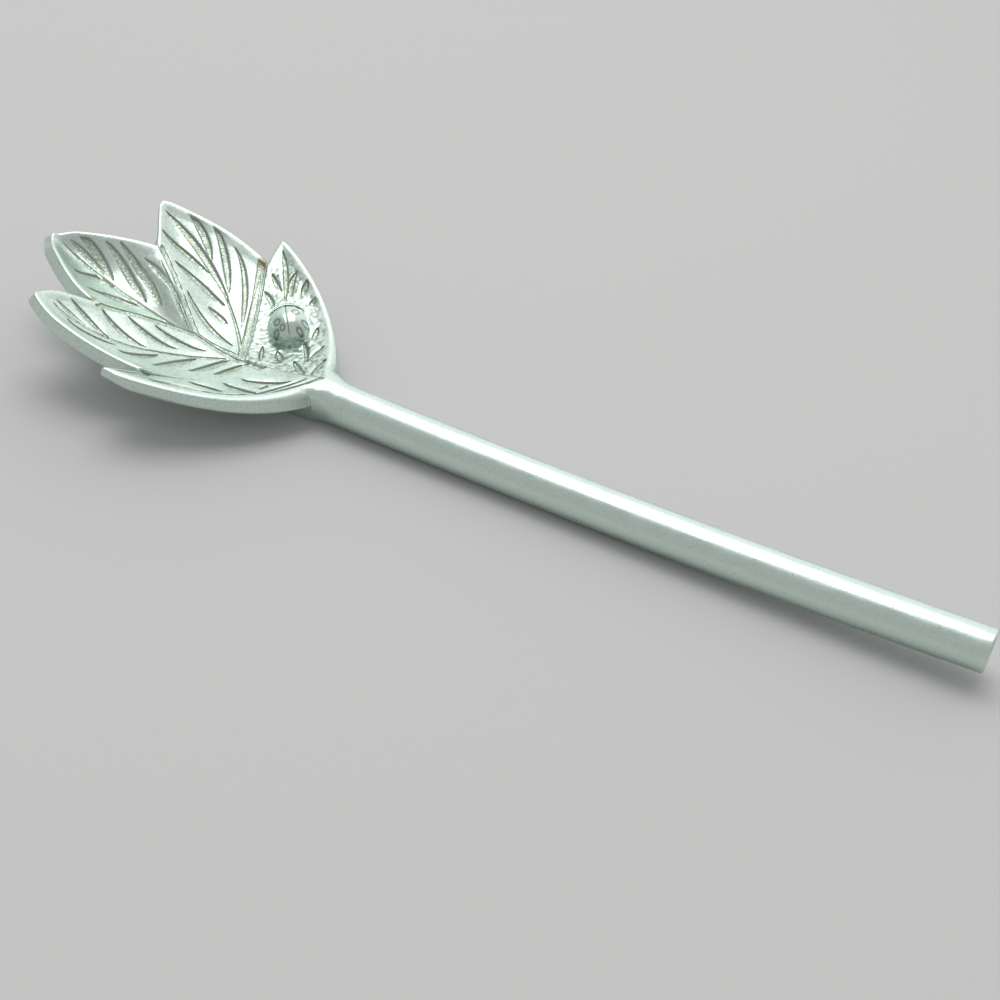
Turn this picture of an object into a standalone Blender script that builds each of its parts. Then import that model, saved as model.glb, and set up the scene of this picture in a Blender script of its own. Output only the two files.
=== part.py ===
"""Serving spoon: a bowl of five overlapping leaves on a round rod handle, with a ladybird on one leaf.

Metres, +Z up. The table is z = 0, +X runs along the handle to its free end, and the user's right is +Y.
Bowl sizes are given as reach, measured from the neck towards the bowl's tip, and offset, measured sideways.
"""

import math

import bmesh
import bpy
from mathutils import Euler, Matrix, Vector
from mathutils.geometry import interpolate_bezier

# Fits
CLEARANCE = 0.0003

# Handle rod
ROD_DIAMETER = 0.0097
HANDLE_REACH = 0.1438
ROD_BOW_RADIUS = 2.13
ROD_LOW_POINT = 0.030
ROD_END_CHAMFER = 0.0006
JOINT_REACH = 0.008
TENON_DIAMETER = 0.0056
TENON_LENGTH = 0.010
NECK_PLAIN_SHARE = 0.2

# Dish that the leaves follow
FLOOR_HEIGHT = 0.0069
FLOOR_REACH = 0.033
DISH_LENGTH_RADIUS = 0.105
DISH_CROSS_RADIUS = 0.0485
BLADE_THICKNESS = 0.0034
TIP_THICKNESS = 0.0022
TIP_TAPER_START = 0.86
LAP_STEP = 0.0003

# Centre leaf
CENTRE_TIP_REACH = 0.0855
CENTRE_BASE_REACH = 0.0445
CENTRE_NOTCH_REACH = 0.0625
CENTRE_NOTCH_OFFSET = 0.0131
CENTRE_SEAM_BOW = -0.0004
CENTRE_SHOULDER = 0.0106
CENTRE_POINT_BACK = 0.0069
CENTRE_POINT_OUT = 0.0029
CENTRE_CUP = 0.0042
CENTRE_BASE_CUP = 0.0013
CENTRE_CUP_FULL_AT = 0.45

# Inner leaves
INNER_TIP_REACH = 0.0706
INNER_TIP_OFFSET = 0.0251
INNER_LEFT_BASE_REACH = 0.025
INNER_RIGHT_BASE_REACH = 0.031
INNER_NOTCH_REACH = 0.0421
INNER_NOTCH_OFFSET = 0.0256
INNER_LEFT_SEAM_BOW = 0.0020
INNER_RIGHT_SEAM_BOW = 0.0003
INNER_SHOULDER_FORWARD = 0.0028
INNER_SHOULDER_OUT = 0.0024
INNER_POINT_BACK = 0.0048
INNER_EDGE_BULGE = 0.0025
INNER_CUP = 0.0030
INNER_CUP_FROM = 0.15
INNER_CUP_FULL_AT = 0.6
INNER_TIP_CURL = 0.0024

# Outer leaves
OUTER_LEFT_TIP_REACH = 0.0446
OUTER_RIGHT_TIP_REACH = 0.0432
OUTER_TIP_OFFSET = 0.0345
OUTER_SHOULDER_FORWARD = 0.0006
OUTER_SHOULDER_OUT = 0.0027
OUTER_POINT_BACK = 0.0027
OUTER_TIP_DROOP = 0.0017
OUTER_LEFT_EDGE_BULGE = 0.0054
OUTER_RIGHT_EDGE_BULGE = 0.0037
ROOT_REACH = 0.010
ROOT_HALF_WIDTH = 0.0053
ROOT_RISE = 0.0008
ROOT_RISE_RUN = 0.006

# Rat-tail under the bowl
TAIL_REACH = 0.040
TAIL_HALF_WIDTH = 0.0058
TAIL_TIP_HALF_WIDTH = 0.0016
TAIL_WIDEST_AT = 0.3
REST_FLAT_END = 0.033
REST_FLAT_CUT = 0.0010

# Ladybird
LADYBIRD_REACH = 0.0277
LADYBIRD_OFFSET = 0.0132
SHELL_LENGTH = 0.0110
SHELL_WIDTH = 0.0100
SHELL_HEIGHT = 0.0047
HEAD_SHIELD_SPREAD = math.radians(46)
HEAD_SHIELD_HEIGHT = 0.0030
HEAD_SHIELD_PROUD = 0.0015
HEAD_SHIELD_HORN = 0.0006
HEAD_SHIELD_TOP_TURN = math.radians(62)

# Mesh fineness
RING_SIDES = 32
BLADE_STATIONS = 22
BLADE_COLUMNS = 8
CURVE_POINTS = 12
ROD_STATIONS = 20
NECK_STATIONS = 8
TAIL_STATIONS = 12
SHELL_SEGMENTS = 24
SHELL_RINGS = 14
SHIELD_LEVELS = 6
SHIELD_POINTS = 14
SHARP_ANGLE = math.radians(40)
SAME_POINT = 1e-6


def make_material(name, colour, roughness):
    """A metallic Principled material."""
    material = bpy.data.materials.new(name)
    material.use_nodes = True
    shader = material.node_tree.nodes["Principled BSDF"]
    shader.inputs["Base Color"].default_value = (*colour, 1)
    shader.inputs["Metallic"].default_value = 1.0
    shader.inputs["Roughness"].default_value = roughness
    return material


def finish_object(name, mesh_data, material, parent):
    """Closes a bmesh into a named object with outward faces and smooth round sides."""
    bmesh.ops.recalc_face_normals(mesh_data, faces=mesh_data.faces)
    mesh = bpy.data.meshes.new(name)
    mesh_data.to_mesh(mesh)
    mesh_data.free()
    mesh.shade_smooth()
    mesh.set_sharp_from_angle(angle=SHARP_ANGLE)
    mesh.materials.append(material)
    made = bpy.data.objects.new(name, mesh)
    made.parent = parent
    bpy.context.collection.objects.link(made)
    return made


def loft(rings):
    """A closed bmesh through rings of equally many points, with both ends capped."""
    mesh_data = bmesh.new()
    rows = [[mesh_data.verts.new(point) for point in ring] for ring in rings]
    for row, following in zip(rows, rows[1:]):
        for k in range(len(row)):
            after = (k + 1) % len(row)
            mesh_data.faces.new((row[k], row[after], following[after], following[k]))
    mesh_data.faces.new(rows[0])
    mesh_data.faces.new(rows[-1])
    return mesh_data


def bezier(start, start_handle, end_handle, end):
    """Points of a plane cubic curve from start to end."""
    corners = [Vector((*corner, 0)) for corner in (start, start_handle, end_handle, end)]
    return [Vector(point[:2]) for point in interpolate_bezier(*corners, CURVE_POINTS)]


def bowed(start, end, bulge):
    """A plane curve from start to end that stands out to the left of its chord by bulge."""
    start = Vector(start)
    end = Vector(end)
    chord = end - start
    outward = Vector((-chord.y, chord.x)).normalized() * bulge * 4 / 3
    return bezier(start, start + chord / 3 + outward, end - chord / 3 + outward, end)


def chain(*curves):
    """Curves end to end as one list of points, each shared point kept once."""
    points = list(curves[0])
    for curve in curves[1:]:
        points.extend(curve[1:])
    return points


def resample(points, count):
    """Points at equal steps along a plane polyline."""
    lengths = [0.0]
    for a, b in zip(points, points[1:]):
        lengths.append(lengths[-1] + (b - a).length)
    spaced = []
    segment = 0
    for k in range(count):
        target = lengths[-1] * k / (count - 1)
        while segment < len(points) - 2 and lengths[segment + 1] < target:
            segment += 1
        span = lengths[segment + 1] - lengths[segment]
        spaced.append(points[segment].lerp(points[segment + 1], (target - lengths[segment]) / span))
    return spaced


def inset(outline, distances):
    """A counter-clockwise outline with each point moved inwards by its own distance."""
    moved = []
    for k, point in enumerate(outline):
        before = (point - outline[k - 1]).normalized()
        after = (outline[(k + 1) % len(outline)] - point).normalized()
        left_before = Vector((-before.y, before.x))
        left_after = Vector((-after.y, after.x))
        mitre = (left_before + left_after) / (1 + left_before.dot(left_after))
        moved.append(point + mitre * distances[k])
    return moved


def smooth_step(low, high, value):
    """0 below low, 1 above high and a smooth rise between."""
    t = min(max((value - low) / (high - low), 0), 1)
    return t * t * (3 - 2 * t)


def dish_height(reach, offset):
    """Height of the dish that all the leaves follow."""
    lengthwise = (reach - FLOOR_REACH) ** 2 / (2 * DISH_LENGTH_RADIUS)
    crosswise = offset ** 2 / (2 * DISH_CROSS_RADIUS)
    return FLOOR_HEIGHT + lengthwise + crosswise


def tilt_drop(reach, thickness):
    """How far a leaf's underside lies from its top, along reach and down: square to the dish lengthwise."""
    slope = (reach - FLOOR_REACH) / DISH_LENGTH_RADIUS
    drop = thickness / math.sqrt(1 + slope ** 2)
    return slope * drop, drop


def underside_height(reach, offset):
    """Height of the underside of the dish."""
    shift, drop = tilt_drop(reach, BLADE_THICKNESS)
    return dish_height(reach - shift, offset) - drop


# The box of the whole spoon is centred on the origin along X.
NECK_X = (CENTRE_TIP_REACH + tilt_drop(CENTRE_TIP_REACH, TIP_THICKNESS)[0] - HANDLE_REACH) / 2


def root_rise(reach):
    """How far the top of the outer leaves climbs towards the top of the neck."""
    return ROOT_RISE * math.exp((ROOT_REACH - reach) / ROOT_RISE_RUN)


def valley(across):
    """Cross-section of a cupped leaf: 0 on its midrib, 1 along its edge."""
    return across ** 2 * (2 - across ** 2)


def tip_fade(along):
    """1 along most of a leaf, and 0 at its tip."""
    return 1 - along ** 8


def centre_leaf_lift(along, across):
    """Cupping of the centre leaf, which runs out at its tip."""
    cup = CENTRE_BASE_CUP + (CENTRE_CUP - CENTRE_BASE_CUP) * smooth_step(0, CENTRE_CUP_FULL_AT, along)
    return cup * valley(across) * tip_fade(along)


def inner_leaf_lift(along, across):
    """Cupping of an inner leaf towards the centre leaf, and the curl of its tip."""
    cup = INNER_CUP * smooth_step(INNER_CUP_FROM, INNER_CUP_FULL_AT, along)
    return cup * valley(min(across, 0)) * tip_fade(along) + INNER_TIP_CURL * along ** 3


def outer_leaf_lift(along, across):
    """The outer leaves follow the dish, and flatten out at their tips."""
    return -OUTER_TIP_DROOP * along ** 4


# Plan of the right half of the bowl, as (reach, offset), which the left half mirrors
ROOT = Vector((ROOT_REACH, 0))
ROOT_CORNER = Vector((ROOT_REACH, ROOT_HALF_WIDTH))
CENTRE_BASE = Vector((CENTRE_BASE_REACH, 0))
CENTRE_NOTCH = Vector((CENTRE_NOTCH_REACH, CENTRE_NOTCH_OFFSET))
CENTRE_TIP = Vector((CENTRE_TIP_REACH, 0))
INNER_NOTCH = Vector((INNER_NOTCH_REACH, INNER_NOTCH_OFFSET))
INNER_TIP = Vector((INNER_TIP_REACH, INNER_TIP_OFFSET))
OUTER_LEFT_TIP = Vector((OUTER_LEFT_TIP_REACH, OUTER_TIP_OFFSET))
OUTER_RIGHT_TIP = Vector((OUTER_RIGHT_TIP_REACH, OUTER_TIP_OFFSET))


def centre_seam():
    """Seam between the centre leaf and the right inner leaf, from its base to the notch."""
    return bowed(CENTRE_BASE, CENTRE_NOTCH, CENTRE_SEAM_BOW)


def inner_seam(base, bow):
    """Seam between an inner leaf and an outer leaf, from its base to the notch."""
    return bowed(base, INNER_NOTCH, bow)


def centre_free_edge():
    """Right edge of the centre leaf from the notch to its tip."""
    shoulder = CENTRE_NOTCH + Vector((CENTRE_SHOULDER, 0))
    point = CENTRE_TIP + Vector((-CENTRE_POINT_BACK, CENTRE_POINT_OUT))
    return bezier(CENTRE_NOTCH, shoulder, point, CENTRE_TIP)


def inner_free_edges():
    """Edges of the right inner leaf that stand free: towards the centre leaf, and outside."""
    shoulder = CENTRE_NOTCH + Vector((INNER_SHOULDER_FORWARD, INNER_SHOULDER_OUT))
    point = INNER_TIP - Vector((0, INNER_POINT_BACK))
    towards_centre = bezier(CENTRE_NOTCH, shoulder, point, INNER_TIP)
    outside = bowed(INNER_NOTCH, INNER_TIP, INNER_EDGE_BULGE)
    return towards_centre, outside


def outer_free_edge(tip):
    """Edge of an outer leaf that stands free towards the inner leaf."""
    shoulder = INNER_NOTCH + Vector((OUTER_SHOULDER_FORWARD, OUTER_SHOULDER_OUT))
    return bezier(INNER_NOTCH, shoulder, tip - Vector((0, OUTER_POINT_BACK)), tip)


def to_world(reach, offset, height):
    """World point of a place in the bowl."""
    return Vector((NECK_X - reach, offset, height))


def build_blade(name, low_edge, high_edge, seam_shares, lift, layer, side, material, parent, rooted=False):
    """A leaf as a curved plate between two edges that run from its base to its tip.

    low_edge lies towards the left of the bowl and high_edge towards its right. seam_shares gives the share
    of each edge, from its base, that meets another leaf and keeps half the clearance to it. side is -1 to
    mirror the leaf.
    """
    low = resample(low_edge, BLADE_STATIONS)
    high = resample(high_edge, BLADE_STATIONS)
    if rooted:
        outline = low + high[-2::-1]
    else:
        outline = low + high[-2:0:-1]
    gaps = []
    for k in range(len(outline)):
        on_low = k < BLADE_STATIONS
        station = k if on_low else 2 * (BLADE_STATIONS - 1) - k
        seam_share = seam_shares[0] if on_low else seam_shares[1]
        in_seam = station <= seam_share * (BLADE_STATIONS - 1)
        gaps.append(CLEARANCE / 2 if in_seam else 0)
    outline = inset(outline, gaps)
    low = outline[:BLADE_STATIONS]
    high = [low[-1]] + outline[BLADE_STATIONS:]
    if not rooted:
        high.append(low[0])
    high.reverse()

    mesh_data = bmesh.new()
    sheets = []
    for top in (True, False):
        rows = []
        for k, (a, b) in enumerate(zip(low, high)):
            along = k / (BLADE_STATIONS - 1)
            taper = smooth_step(TIP_TAPER_START, 1, along)
            thickness = BLADE_THICKNESS + (TIP_THICKNESS - BLADE_THICKNESS) * taper
            columns = BLADE_COLUMNS if (b - a).length > SAME_POINT else 0
            row = []
            for c in range(columns + 1):
                share = c / columns if columns else 0.5
                place = a.lerp(b, share)
                reach = place.x
                height = dish_height(*place) + lift(along, 2 * share - 1)
                if top:
                    height += layer
                    height += root_rise(reach) if rooted else 0
                else:
                    shift, drop = tilt_drop(reach, thickness)
                    reach = max(reach + shift, ROOT_REACH)
                    height -= drop
                row.append(mesh_data.verts.new(to_world(reach, side * place.y, height)))
            rows.append(row)
        for row, following in zip(rows, rows[1:]):
            fill_strip(mesh_data, row, following)
        sheets.append(rows)

    top_rim = rim_of(sheets[0])
    bottom_rim = rim_of(sheets[1])
    for k in range(len(top_rim)):
        after = (k + 1) % len(top_rim)
        mesh_data.faces.new((top_rim[k], top_rim[after], bottom_rim[after], bottom_rim[k]))
    return finish_object(name, mesh_data, material, parent)


def fill_strip(mesh_data, row, following):
    """Faces between two rows of a sheet, either of which may be a single point."""
    if len(row) == 1:
        for a, b in zip(following, following[1:]):
            mesh_data.faces.new((row[0], a, b))
    elif len(following) == 1:
        for a, b in zip(row, row[1:]):
            mesh_data.faces.new((a, b, following[0]))
    else:
        for k in range(len(row) - 1):
            mesh_data.faces.new((row[k], row[k + 1], following[k + 1], following[k]))


def rim_of(rows):
    """The loop of points round a sheet of rows."""
    up = [row[0] for row in rows]
    across = rows[-1][1:]
    down = [row[-1] for row in rows[-2::-1]]
    back = rows[0][-2:0:-1]
    return up + across + [point for point in down if point is not up[0]] + back


def build_leaves(material, parent):
    """The five leaves, the centre one lowest and the outer ones on top."""
    centre_edge = chain(centre_seam(), centre_free_edge())
    mirrored_edge = [Vector((point.x, -point.y)) for point in centre_edge]
    share = path_length(centre_seam()) / path_length(centre_edge)
    build_blade("centre_leaf", mirrored_edge, centre_edge, (share, share), centre_leaf_lift,
                -LAP_STEP, 1, material, parent)
    build_side_leaves("left", -1, INNER_LEFT_BASE_REACH, INNER_LEFT_SEAM_BOW,
                      OUTER_LEFT_TIP, OUTER_LEFT_EDGE_BULGE, material, parent)
    build_side_leaves("right", 1, INNER_RIGHT_BASE_REACH, INNER_RIGHT_SEAM_BOW,
                      OUTER_RIGHT_TIP, OUTER_RIGHT_EDGE_BULGE, material, parent)


def build_side_leaves(hand, side, base_reach, seam_bow, tip, edge_bulge, material, parent):
    """The inner and the outer leaf of one side, which meet along a seam."""
    inner_base = Vector((base_reach, 0))
    seam = inner_seam(inner_base, seam_bow)
    towards_centre, outside = inner_free_edges()

    inner_low_seam = chain([inner_base, CENTRE_BASE], centre_seam())
    inner_low = chain(inner_low_seam, towards_centre)
    inner_high = chain(seam, outside)
    inner_shares = (
        path_length(inner_low_seam) / path_length(inner_low),
        path_length(seam) / path_length(inner_high),
    )
    build_blade(f"inner_leaf_{hand}", inner_low, inner_high, inner_shares, inner_leaf_lift,
                0, side, material, parent)

    outer_low_seam = chain([ROOT, inner_base], seam)
    outer_low = chain(outer_low_seam, outer_free_edge(tip))
    outer_high = bowed(ROOT_CORNER, tip, edge_bulge)
    outer_shares = (path_length(outer_low_seam) / path_length(outer_low), 0)
    build_blade(f"outer_leaf_{hand}", outer_low, outer_high, outer_shares, outer_leaf_lift,
                LAP_STEP, side, material, parent, rooted=True)


def path_length(points):
    """Length of a plane polyline."""
    return sum((b - a).length for a, b in zip(points, points[1:]))


def rod_axis_height(from_neck):
    """Height of the bowed rod's axis, at a distance from the neck towards the handle's end."""
    return ROD_DIAMETER / 2 + (from_neck - ROD_LOW_POINT) ** 2 / (2 * ROD_BOW_RADIUS)


def round_ring(from_neck, radius):
    """A circle square to X round the rod's axis."""
    centre = Vector((NECK_X + from_neck, 0, rod_axis_height(from_neck)))
    ring = []
    for k in range(RING_SIDES):
        angle = 2 * math.pi * k / RING_SIDES
        ring.append(centre + Vector((0, math.cos(angle), math.sin(angle))) * radius)
    return ring


def build_handle(material, parent):
    """The bowed rod, from the end of its tenon to its square-cut free end."""
    radius = ROD_DIAMETER / 2
    shoulder = JOINT_REACH + CLEARANCE
    rings = [round_ring(JOINT_REACH - TENON_LENGTH, TENON_DIAMETER / 2)]
    rings.append(round_ring(shoulder, TENON_DIAMETER / 2))
    for k in range(ROD_STATIONS + 1):
        along = k / ROD_STATIONS
        rings.append(round_ring(shoulder + (HANDLE_REACH - ROD_END_CHAMFER - shoulder) * along, radius))
    rings.append(round_ring(HANDLE_REACH, radius - ROD_END_CHAMFER))
    return finish_object("handle_rod", loft(rings), material, parent)


def neck_ring(reach, half_width, top, middle, bottom, under_leaves):
    """A cross-section of the neck: two half ellipses, cut flat at the table and under the leaves."""
    ring = []
    for k in range(RING_SIDES):
        angle = 2 * math.pi * k / RING_SIDES
        offset = half_width * math.cos(angle)
        rise = top - middle if math.sin(angle) > 0 else middle - bottom
        height = max(middle + rise * math.sin(angle), 0)
        if under_leaves:
            height = min(height, underside_height(reach, offset) - CLEARANCE)
        ring.append(to_world(reach, offset, height))
    return ring


def build_neck(material, parent):
    """The neck with its socket for the rod's tenon, and the rat-tail that runs on under the leaves."""
    radius = ROD_DIAMETER / 2
    bore = TENON_DIAMETER / 2 + CLEARANCE
    bore_end = JOINT_REACH - TENON_LENGTH - CLEARANCE
    rings = [round_ring(bore_end, bore), round_ring(JOINT_REACH, bore)]

    front = ROOT_REACH - CLEARANCE
    root_top = dish_height(ROOT_REACH, 0) + LAP_STEP + ROOT_RISE
    for k in range(NECK_STATIONS + 1):
        along = k / NECK_STATIONS
        blend = smooth_step(NECK_PLAIN_SHARE, 1, along)
        reach = -JOINT_REACH + (front + JOINT_REACH) * along
        axis = rod_axis_height(-reach)
        half_width = radius + (ROOT_HALF_WIDTH - radius) * blend
        top = axis + radius + (root_top - axis - radius) * blend
        bottom = axis - radius - REST_FLAT_CUT * blend
        rings.append(neck_ring(reach, half_width, top, axis, bottom, False))

    for k in range(TAIL_STATIONS + 1):
        along = k / TAIL_STATIONS
        reach = front + (TAIL_REACH - front) * along
        widen = smooth_step(0, TAIL_WIDEST_AT, along)
        narrow = smooth_step(TAIL_WIDEST_AT, 1, along)
        half_width = ROOT_HALF_WIDTH + (TAIL_HALF_WIDTH - ROOT_HALF_WIDTH) * widen
        half_width += (TAIL_TIP_HALF_WIDTH - half_width) * narrow
        underside = underside_height(reach, 0) - CLEARANCE
        lift_off = smooth_step(REST_FLAT_END, TAIL_REACH, reach)
        bottom = -REST_FLAT_CUT + (underside - TAIL_TIP_HALF_WIDTH / 2 + REST_FLAT_CUT) * lift_off
        rings.append(neck_ring(reach, half_width, underside * 2, underside, bottom, True))
    return finish_object("neck_rat_tail", loft(rings), material, parent)


def ellipsoid(length, width, height):
    """A closed ellipsoid in a bmesh, its poles on the X axis."""
    mesh_data = bmesh.new()
    bmesh.ops.create_uvsphere(mesh_data, u_segments=SHELL_SEGMENTS, v_segments=SHELL_RINGS, radius=1)
    bmesh.ops.rotate(mesh_data, verts=mesh_data.verts, matrix=Euler((0, math.pi / 2, 0)).to_matrix())
    bmesh.ops.scale(mesh_data, verts=mesh_data.verts, vec=(length / 2, width / 2, height))
    return mesh_data


def cut_below(mesh_data, point, normal):
    """Cuts away what lies behind a plane and closes the cut."""
    everything = mesh_data.verts[:] + mesh_data.edges[:] + mesh_data.faces[:]
    cut = bmesh.ops.bisect_plane(
        mesh_data, geom=everything, dist=SAME_POINT, plane_co=point, plane_no=normal, clear_inner=True
    )
    edges = [item for item in cut["geom_cut"] if isinstance(item, bmesh.types.BMEdge)]
    bmesh.ops.edgeloop_fill(mesh_data, edges=edges)


def outer_leaf_top(reach, offset):
    """Height of the top face of an outer leaf."""
    return dish_height(reach, offset) + LAP_STEP + root_rise(reach)


def ladybird_seat():
    """An empty on the right outer leaf, X towards the leaf's tip and Z square to the leaf."""
    place = Vector((LADYBIRD_REACH, LADYBIRD_OFFSET))
    slope_reach = (place.x - FLOOR_REACH) / DISH_LENGTH_RADIUS
    slope_offset = place.y / DISH_CROSS_RADIUS
    normal = Vector((slope_reach, -slope_offset, 1)).normalized()
    heading = to_world(*OUTER_RIGHT_TIP, 0) - to_world(*place, 0)
    heading = (heading - normal * heading.dot(normal)).normalized()
    sideways = normal.cross(heading)
    centre = to_world(*place, outer_leaf_top(*place))

    # The dish curves up round the seat, so the leaf under the shell's rim decides how high the shell sits.
    shortage = 0
    for k in range(RING_SIDES):
        angle = 2 * math.pi * k / RING_SIDES
        forward = heading * math.cos(angle) * (SHELL_LENGTH / 2 + CLEARANCE + HEAD_SHIELD_PROUD)
        rim = centre + forward + sideways * math.sin(angle) * SHELL_WIDTH / 2
        shortage = max(shortage, outer_leaf_top(NECK_X - rim.x, rim.y) - rim.z)

    seat = bpy.data.objects.new("ladybird_seat", None)
    turn = Matrix((heading, sideways, normal)).transposed()
    seat.matrix_world = Matrix.Translation(centre + Vector((0, 0, shortage + CLEARANCE))) @ turn.to_4x4()
    bpy.context.collection.objects.link(seat)
    return seat


def build_ladybird(material, parent):
    """Two wing cases and the head shield on the right outer leaf."""
    seat = ladybird_seat()
    seat.parent = parent
    up = Vector((0, 0, 1))
    base = Vector((0, 0, 0))
    for hand, side in (("left", 1), ("right", -1)):
        half = ellipsoid(SHELL_LENGTH, SHELL_WIDTH, SHELL_HEIGHT)
        cut_below(half, base, up)
        cut_below(half, Vector((0, side * CLEARANCE / 2, 0)), Vector((0, side, 0)))
        finish_object(f"ladybird_wing_case_{hand}", half, material, seat)
    build_head_shield(material, seat)


def build_head_shield(material, seat):
    """The crescent in front of the wing cases, thinner at its horns and rounded over at its top."""
    rings = []
    for level in range(SHIELD_LEVELS + 1):
        turn = HEAD_SHIELD_TOP_TURN * level / SHIELD_LEVELS
        height = HEAD_SHIELD_HEIGHT * math.sin(turn)
        slice_share = math.sqrt(1 - (height / (SHELL_HEIGHT + CLEARANCE)) ** 2)
        length = (SHELL_LENGTH / 2 + CLEARANCE) * slice_share
        width = (SHELL_WIDTH / 2 + CLEARANCE) * slice_share
        back = []
        front = []
        for k in range(SHIELD_POINTS + 1):
            share = 2 * k / SHIELD_POINTS - 1
            angle = HEAD_SHIELD_SPREAD * share
            thickness = HEAD_SHIELD_HORN + (HEAD_SHIELD_PROUD - HEAD_SHIELD_HORN) * (1 - share ** 2)
            outward = Vector((math.cos(angle), math.sin(angle), 0))
            back.append(Vector((length * outward.x, width * outward.y, height)))
            front.append(back[-1] + outward * thickness * math.cos(turn))
        rings.append(front + back[::-1])
    finish_object("ladybird_head_shield", loft(rings), material, seat)


def main():
    """Clears the scene and builds the spoon."""
    for old in list(bpy.data.objects):
        bpy.data.objects.remove(old)
    spoon = bpy.data.objects.new("spoon", None)
    bpy.context.collection.objects.link(spoon)
    build_leaves(make_material("leaf_metal", (0.70, 0.74, 0.70), 0.38), spoon)
    build_neck(make_material("neck_metal", (0.72, 0.76, 0.72), 0.32), spoon)
    build_handle(make_material("rod_metal", (0.74, 0.78, 0.74), 0.28), spoon)
    build_ladybird(make_material("ladybird_metal", (0.66, 0.70, 0.65), 0.26), spoon)


main()
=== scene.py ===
"""Looks of a serving spoon: five veined leaves in a fan, a ladybird on one of them, and a round rod handle.

Sizes are in millimetres until a mesh is written. A place in the bowl is (reach, offset): reach is measured
from the neck towards the tip of the bowl, and offset sideways from the spoon's centre line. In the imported
frame the table is z = 0, +X runs along the handle to its free end, and the user's right is +Y.
"""

import logging
import math
from abc import ABC, abstractmethod
from dataclasses import dataclass, field
from enum import Enum

import bpy
import numpy as np
from mathutils import Matrix, Quaternion, Vector, noise


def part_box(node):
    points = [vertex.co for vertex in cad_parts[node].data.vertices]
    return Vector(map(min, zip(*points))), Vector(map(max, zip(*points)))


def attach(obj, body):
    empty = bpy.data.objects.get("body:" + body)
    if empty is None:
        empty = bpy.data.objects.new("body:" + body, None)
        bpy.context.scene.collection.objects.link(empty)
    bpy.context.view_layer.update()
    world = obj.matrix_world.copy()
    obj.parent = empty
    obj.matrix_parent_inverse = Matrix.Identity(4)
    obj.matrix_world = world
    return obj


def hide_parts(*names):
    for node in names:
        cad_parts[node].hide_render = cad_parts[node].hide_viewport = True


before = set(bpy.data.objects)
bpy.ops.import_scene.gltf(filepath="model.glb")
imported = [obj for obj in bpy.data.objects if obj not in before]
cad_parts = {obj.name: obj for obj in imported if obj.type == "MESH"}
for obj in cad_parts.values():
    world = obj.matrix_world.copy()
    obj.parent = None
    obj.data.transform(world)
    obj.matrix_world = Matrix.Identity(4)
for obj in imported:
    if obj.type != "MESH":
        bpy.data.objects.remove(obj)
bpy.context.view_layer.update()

LOG = logging.getLogger("serving_spoon")

MM = 0.001
BODY = "root"
HANDLE_REACH = 143.8
NECK_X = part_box("handle_rod")[1].x / MM - HANDLE_REACH

CURVE_POINTS = 24
EDGE_SAMPLES = 400
COARSE_STEP = 10
REFINE_WITHIN = 3.0
SAME_POINT = 2e-6
SHARP_ANGLE = math.radians(38)

Place = tuple[float, float]
Range = tuple[float, float]
Spot = tuple[float, float, float]
Colour = tuple[float, float, float, float]
Values = np.ndarray | float
Pair = tuple[np.ndarray, np.ndarray]


class Hand(Enum):
    """Side of the spoon that a piece lies on; the value is the sign of its offset."""

    LEFT = -1
    RIGHT = 1


class VeinForm(Enum):
    """How the width of a vein runs from its start to its end."""

    LENS = "pointed at both ends"
    RIB = "full at its start and pointed at its end"


class Sink(Enum):
    """How deep a vein is sunk into its leaf, in millimetres."""

    LINE = 0.22
    GROOVE = 0.40
    HOLLOW = 0.52


class Slot(Enum):
    """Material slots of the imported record."""

    LEAF = "leaf_metal"
    ROD = "rod_metal"
    LADYBIRD = "ladybird_metal"


def smooth_step(low: Values, high: Values, value: Values) -> np.ndarray:
    """Smooth rise from 0 to 1.

    Args:
        low: Where the rise starts.
        high: Where it ends.
        value: Where it is read.

    Returns:
        0 below low, 1 above high and a smooth rise between.
    """
    t = np.clip((value - low) / (high - low), 0, 1)
    return t * t * (3 - 2 * t)


def round_over(distance: np.ndarray, radius: Values, drop: Values | None = None) -> np.ndarray:
    """Drop of a rounded edge.

    Args:
        distance: Distance from the edge.
        radius: Width of the rounding.
        drop: Depth of the rounding, or none for a quarter-round.

    Returns:
        The drop below the flat face: full at the edge, and 0 from one radius inwards.
    """
    inside = np.clip(1 - distance / radius, 0, 1)
    return (radius if drop is None else drop) * (1 - np.sqrt(1 - inside**2))


def grain(points: np.ndarray, size: float) -> np.ndarray:
    """Even noise in space.

    Args:
        points: Places in millimetres, one row each.
        size: Size of one grain.

    Returns:
        A value between about -1 and 1 for each point.
    """
    return np.array([noise.noise(Vector(point)) for point in points / size])


def squared_off(share: np.ndarray, power: float) -> np.ndarray:
    """Shares from -1 to 1 pushed outwards, as when a circle is turned into a rounded square."""
    return np.sign(share) * np.abs(share) ** power


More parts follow.
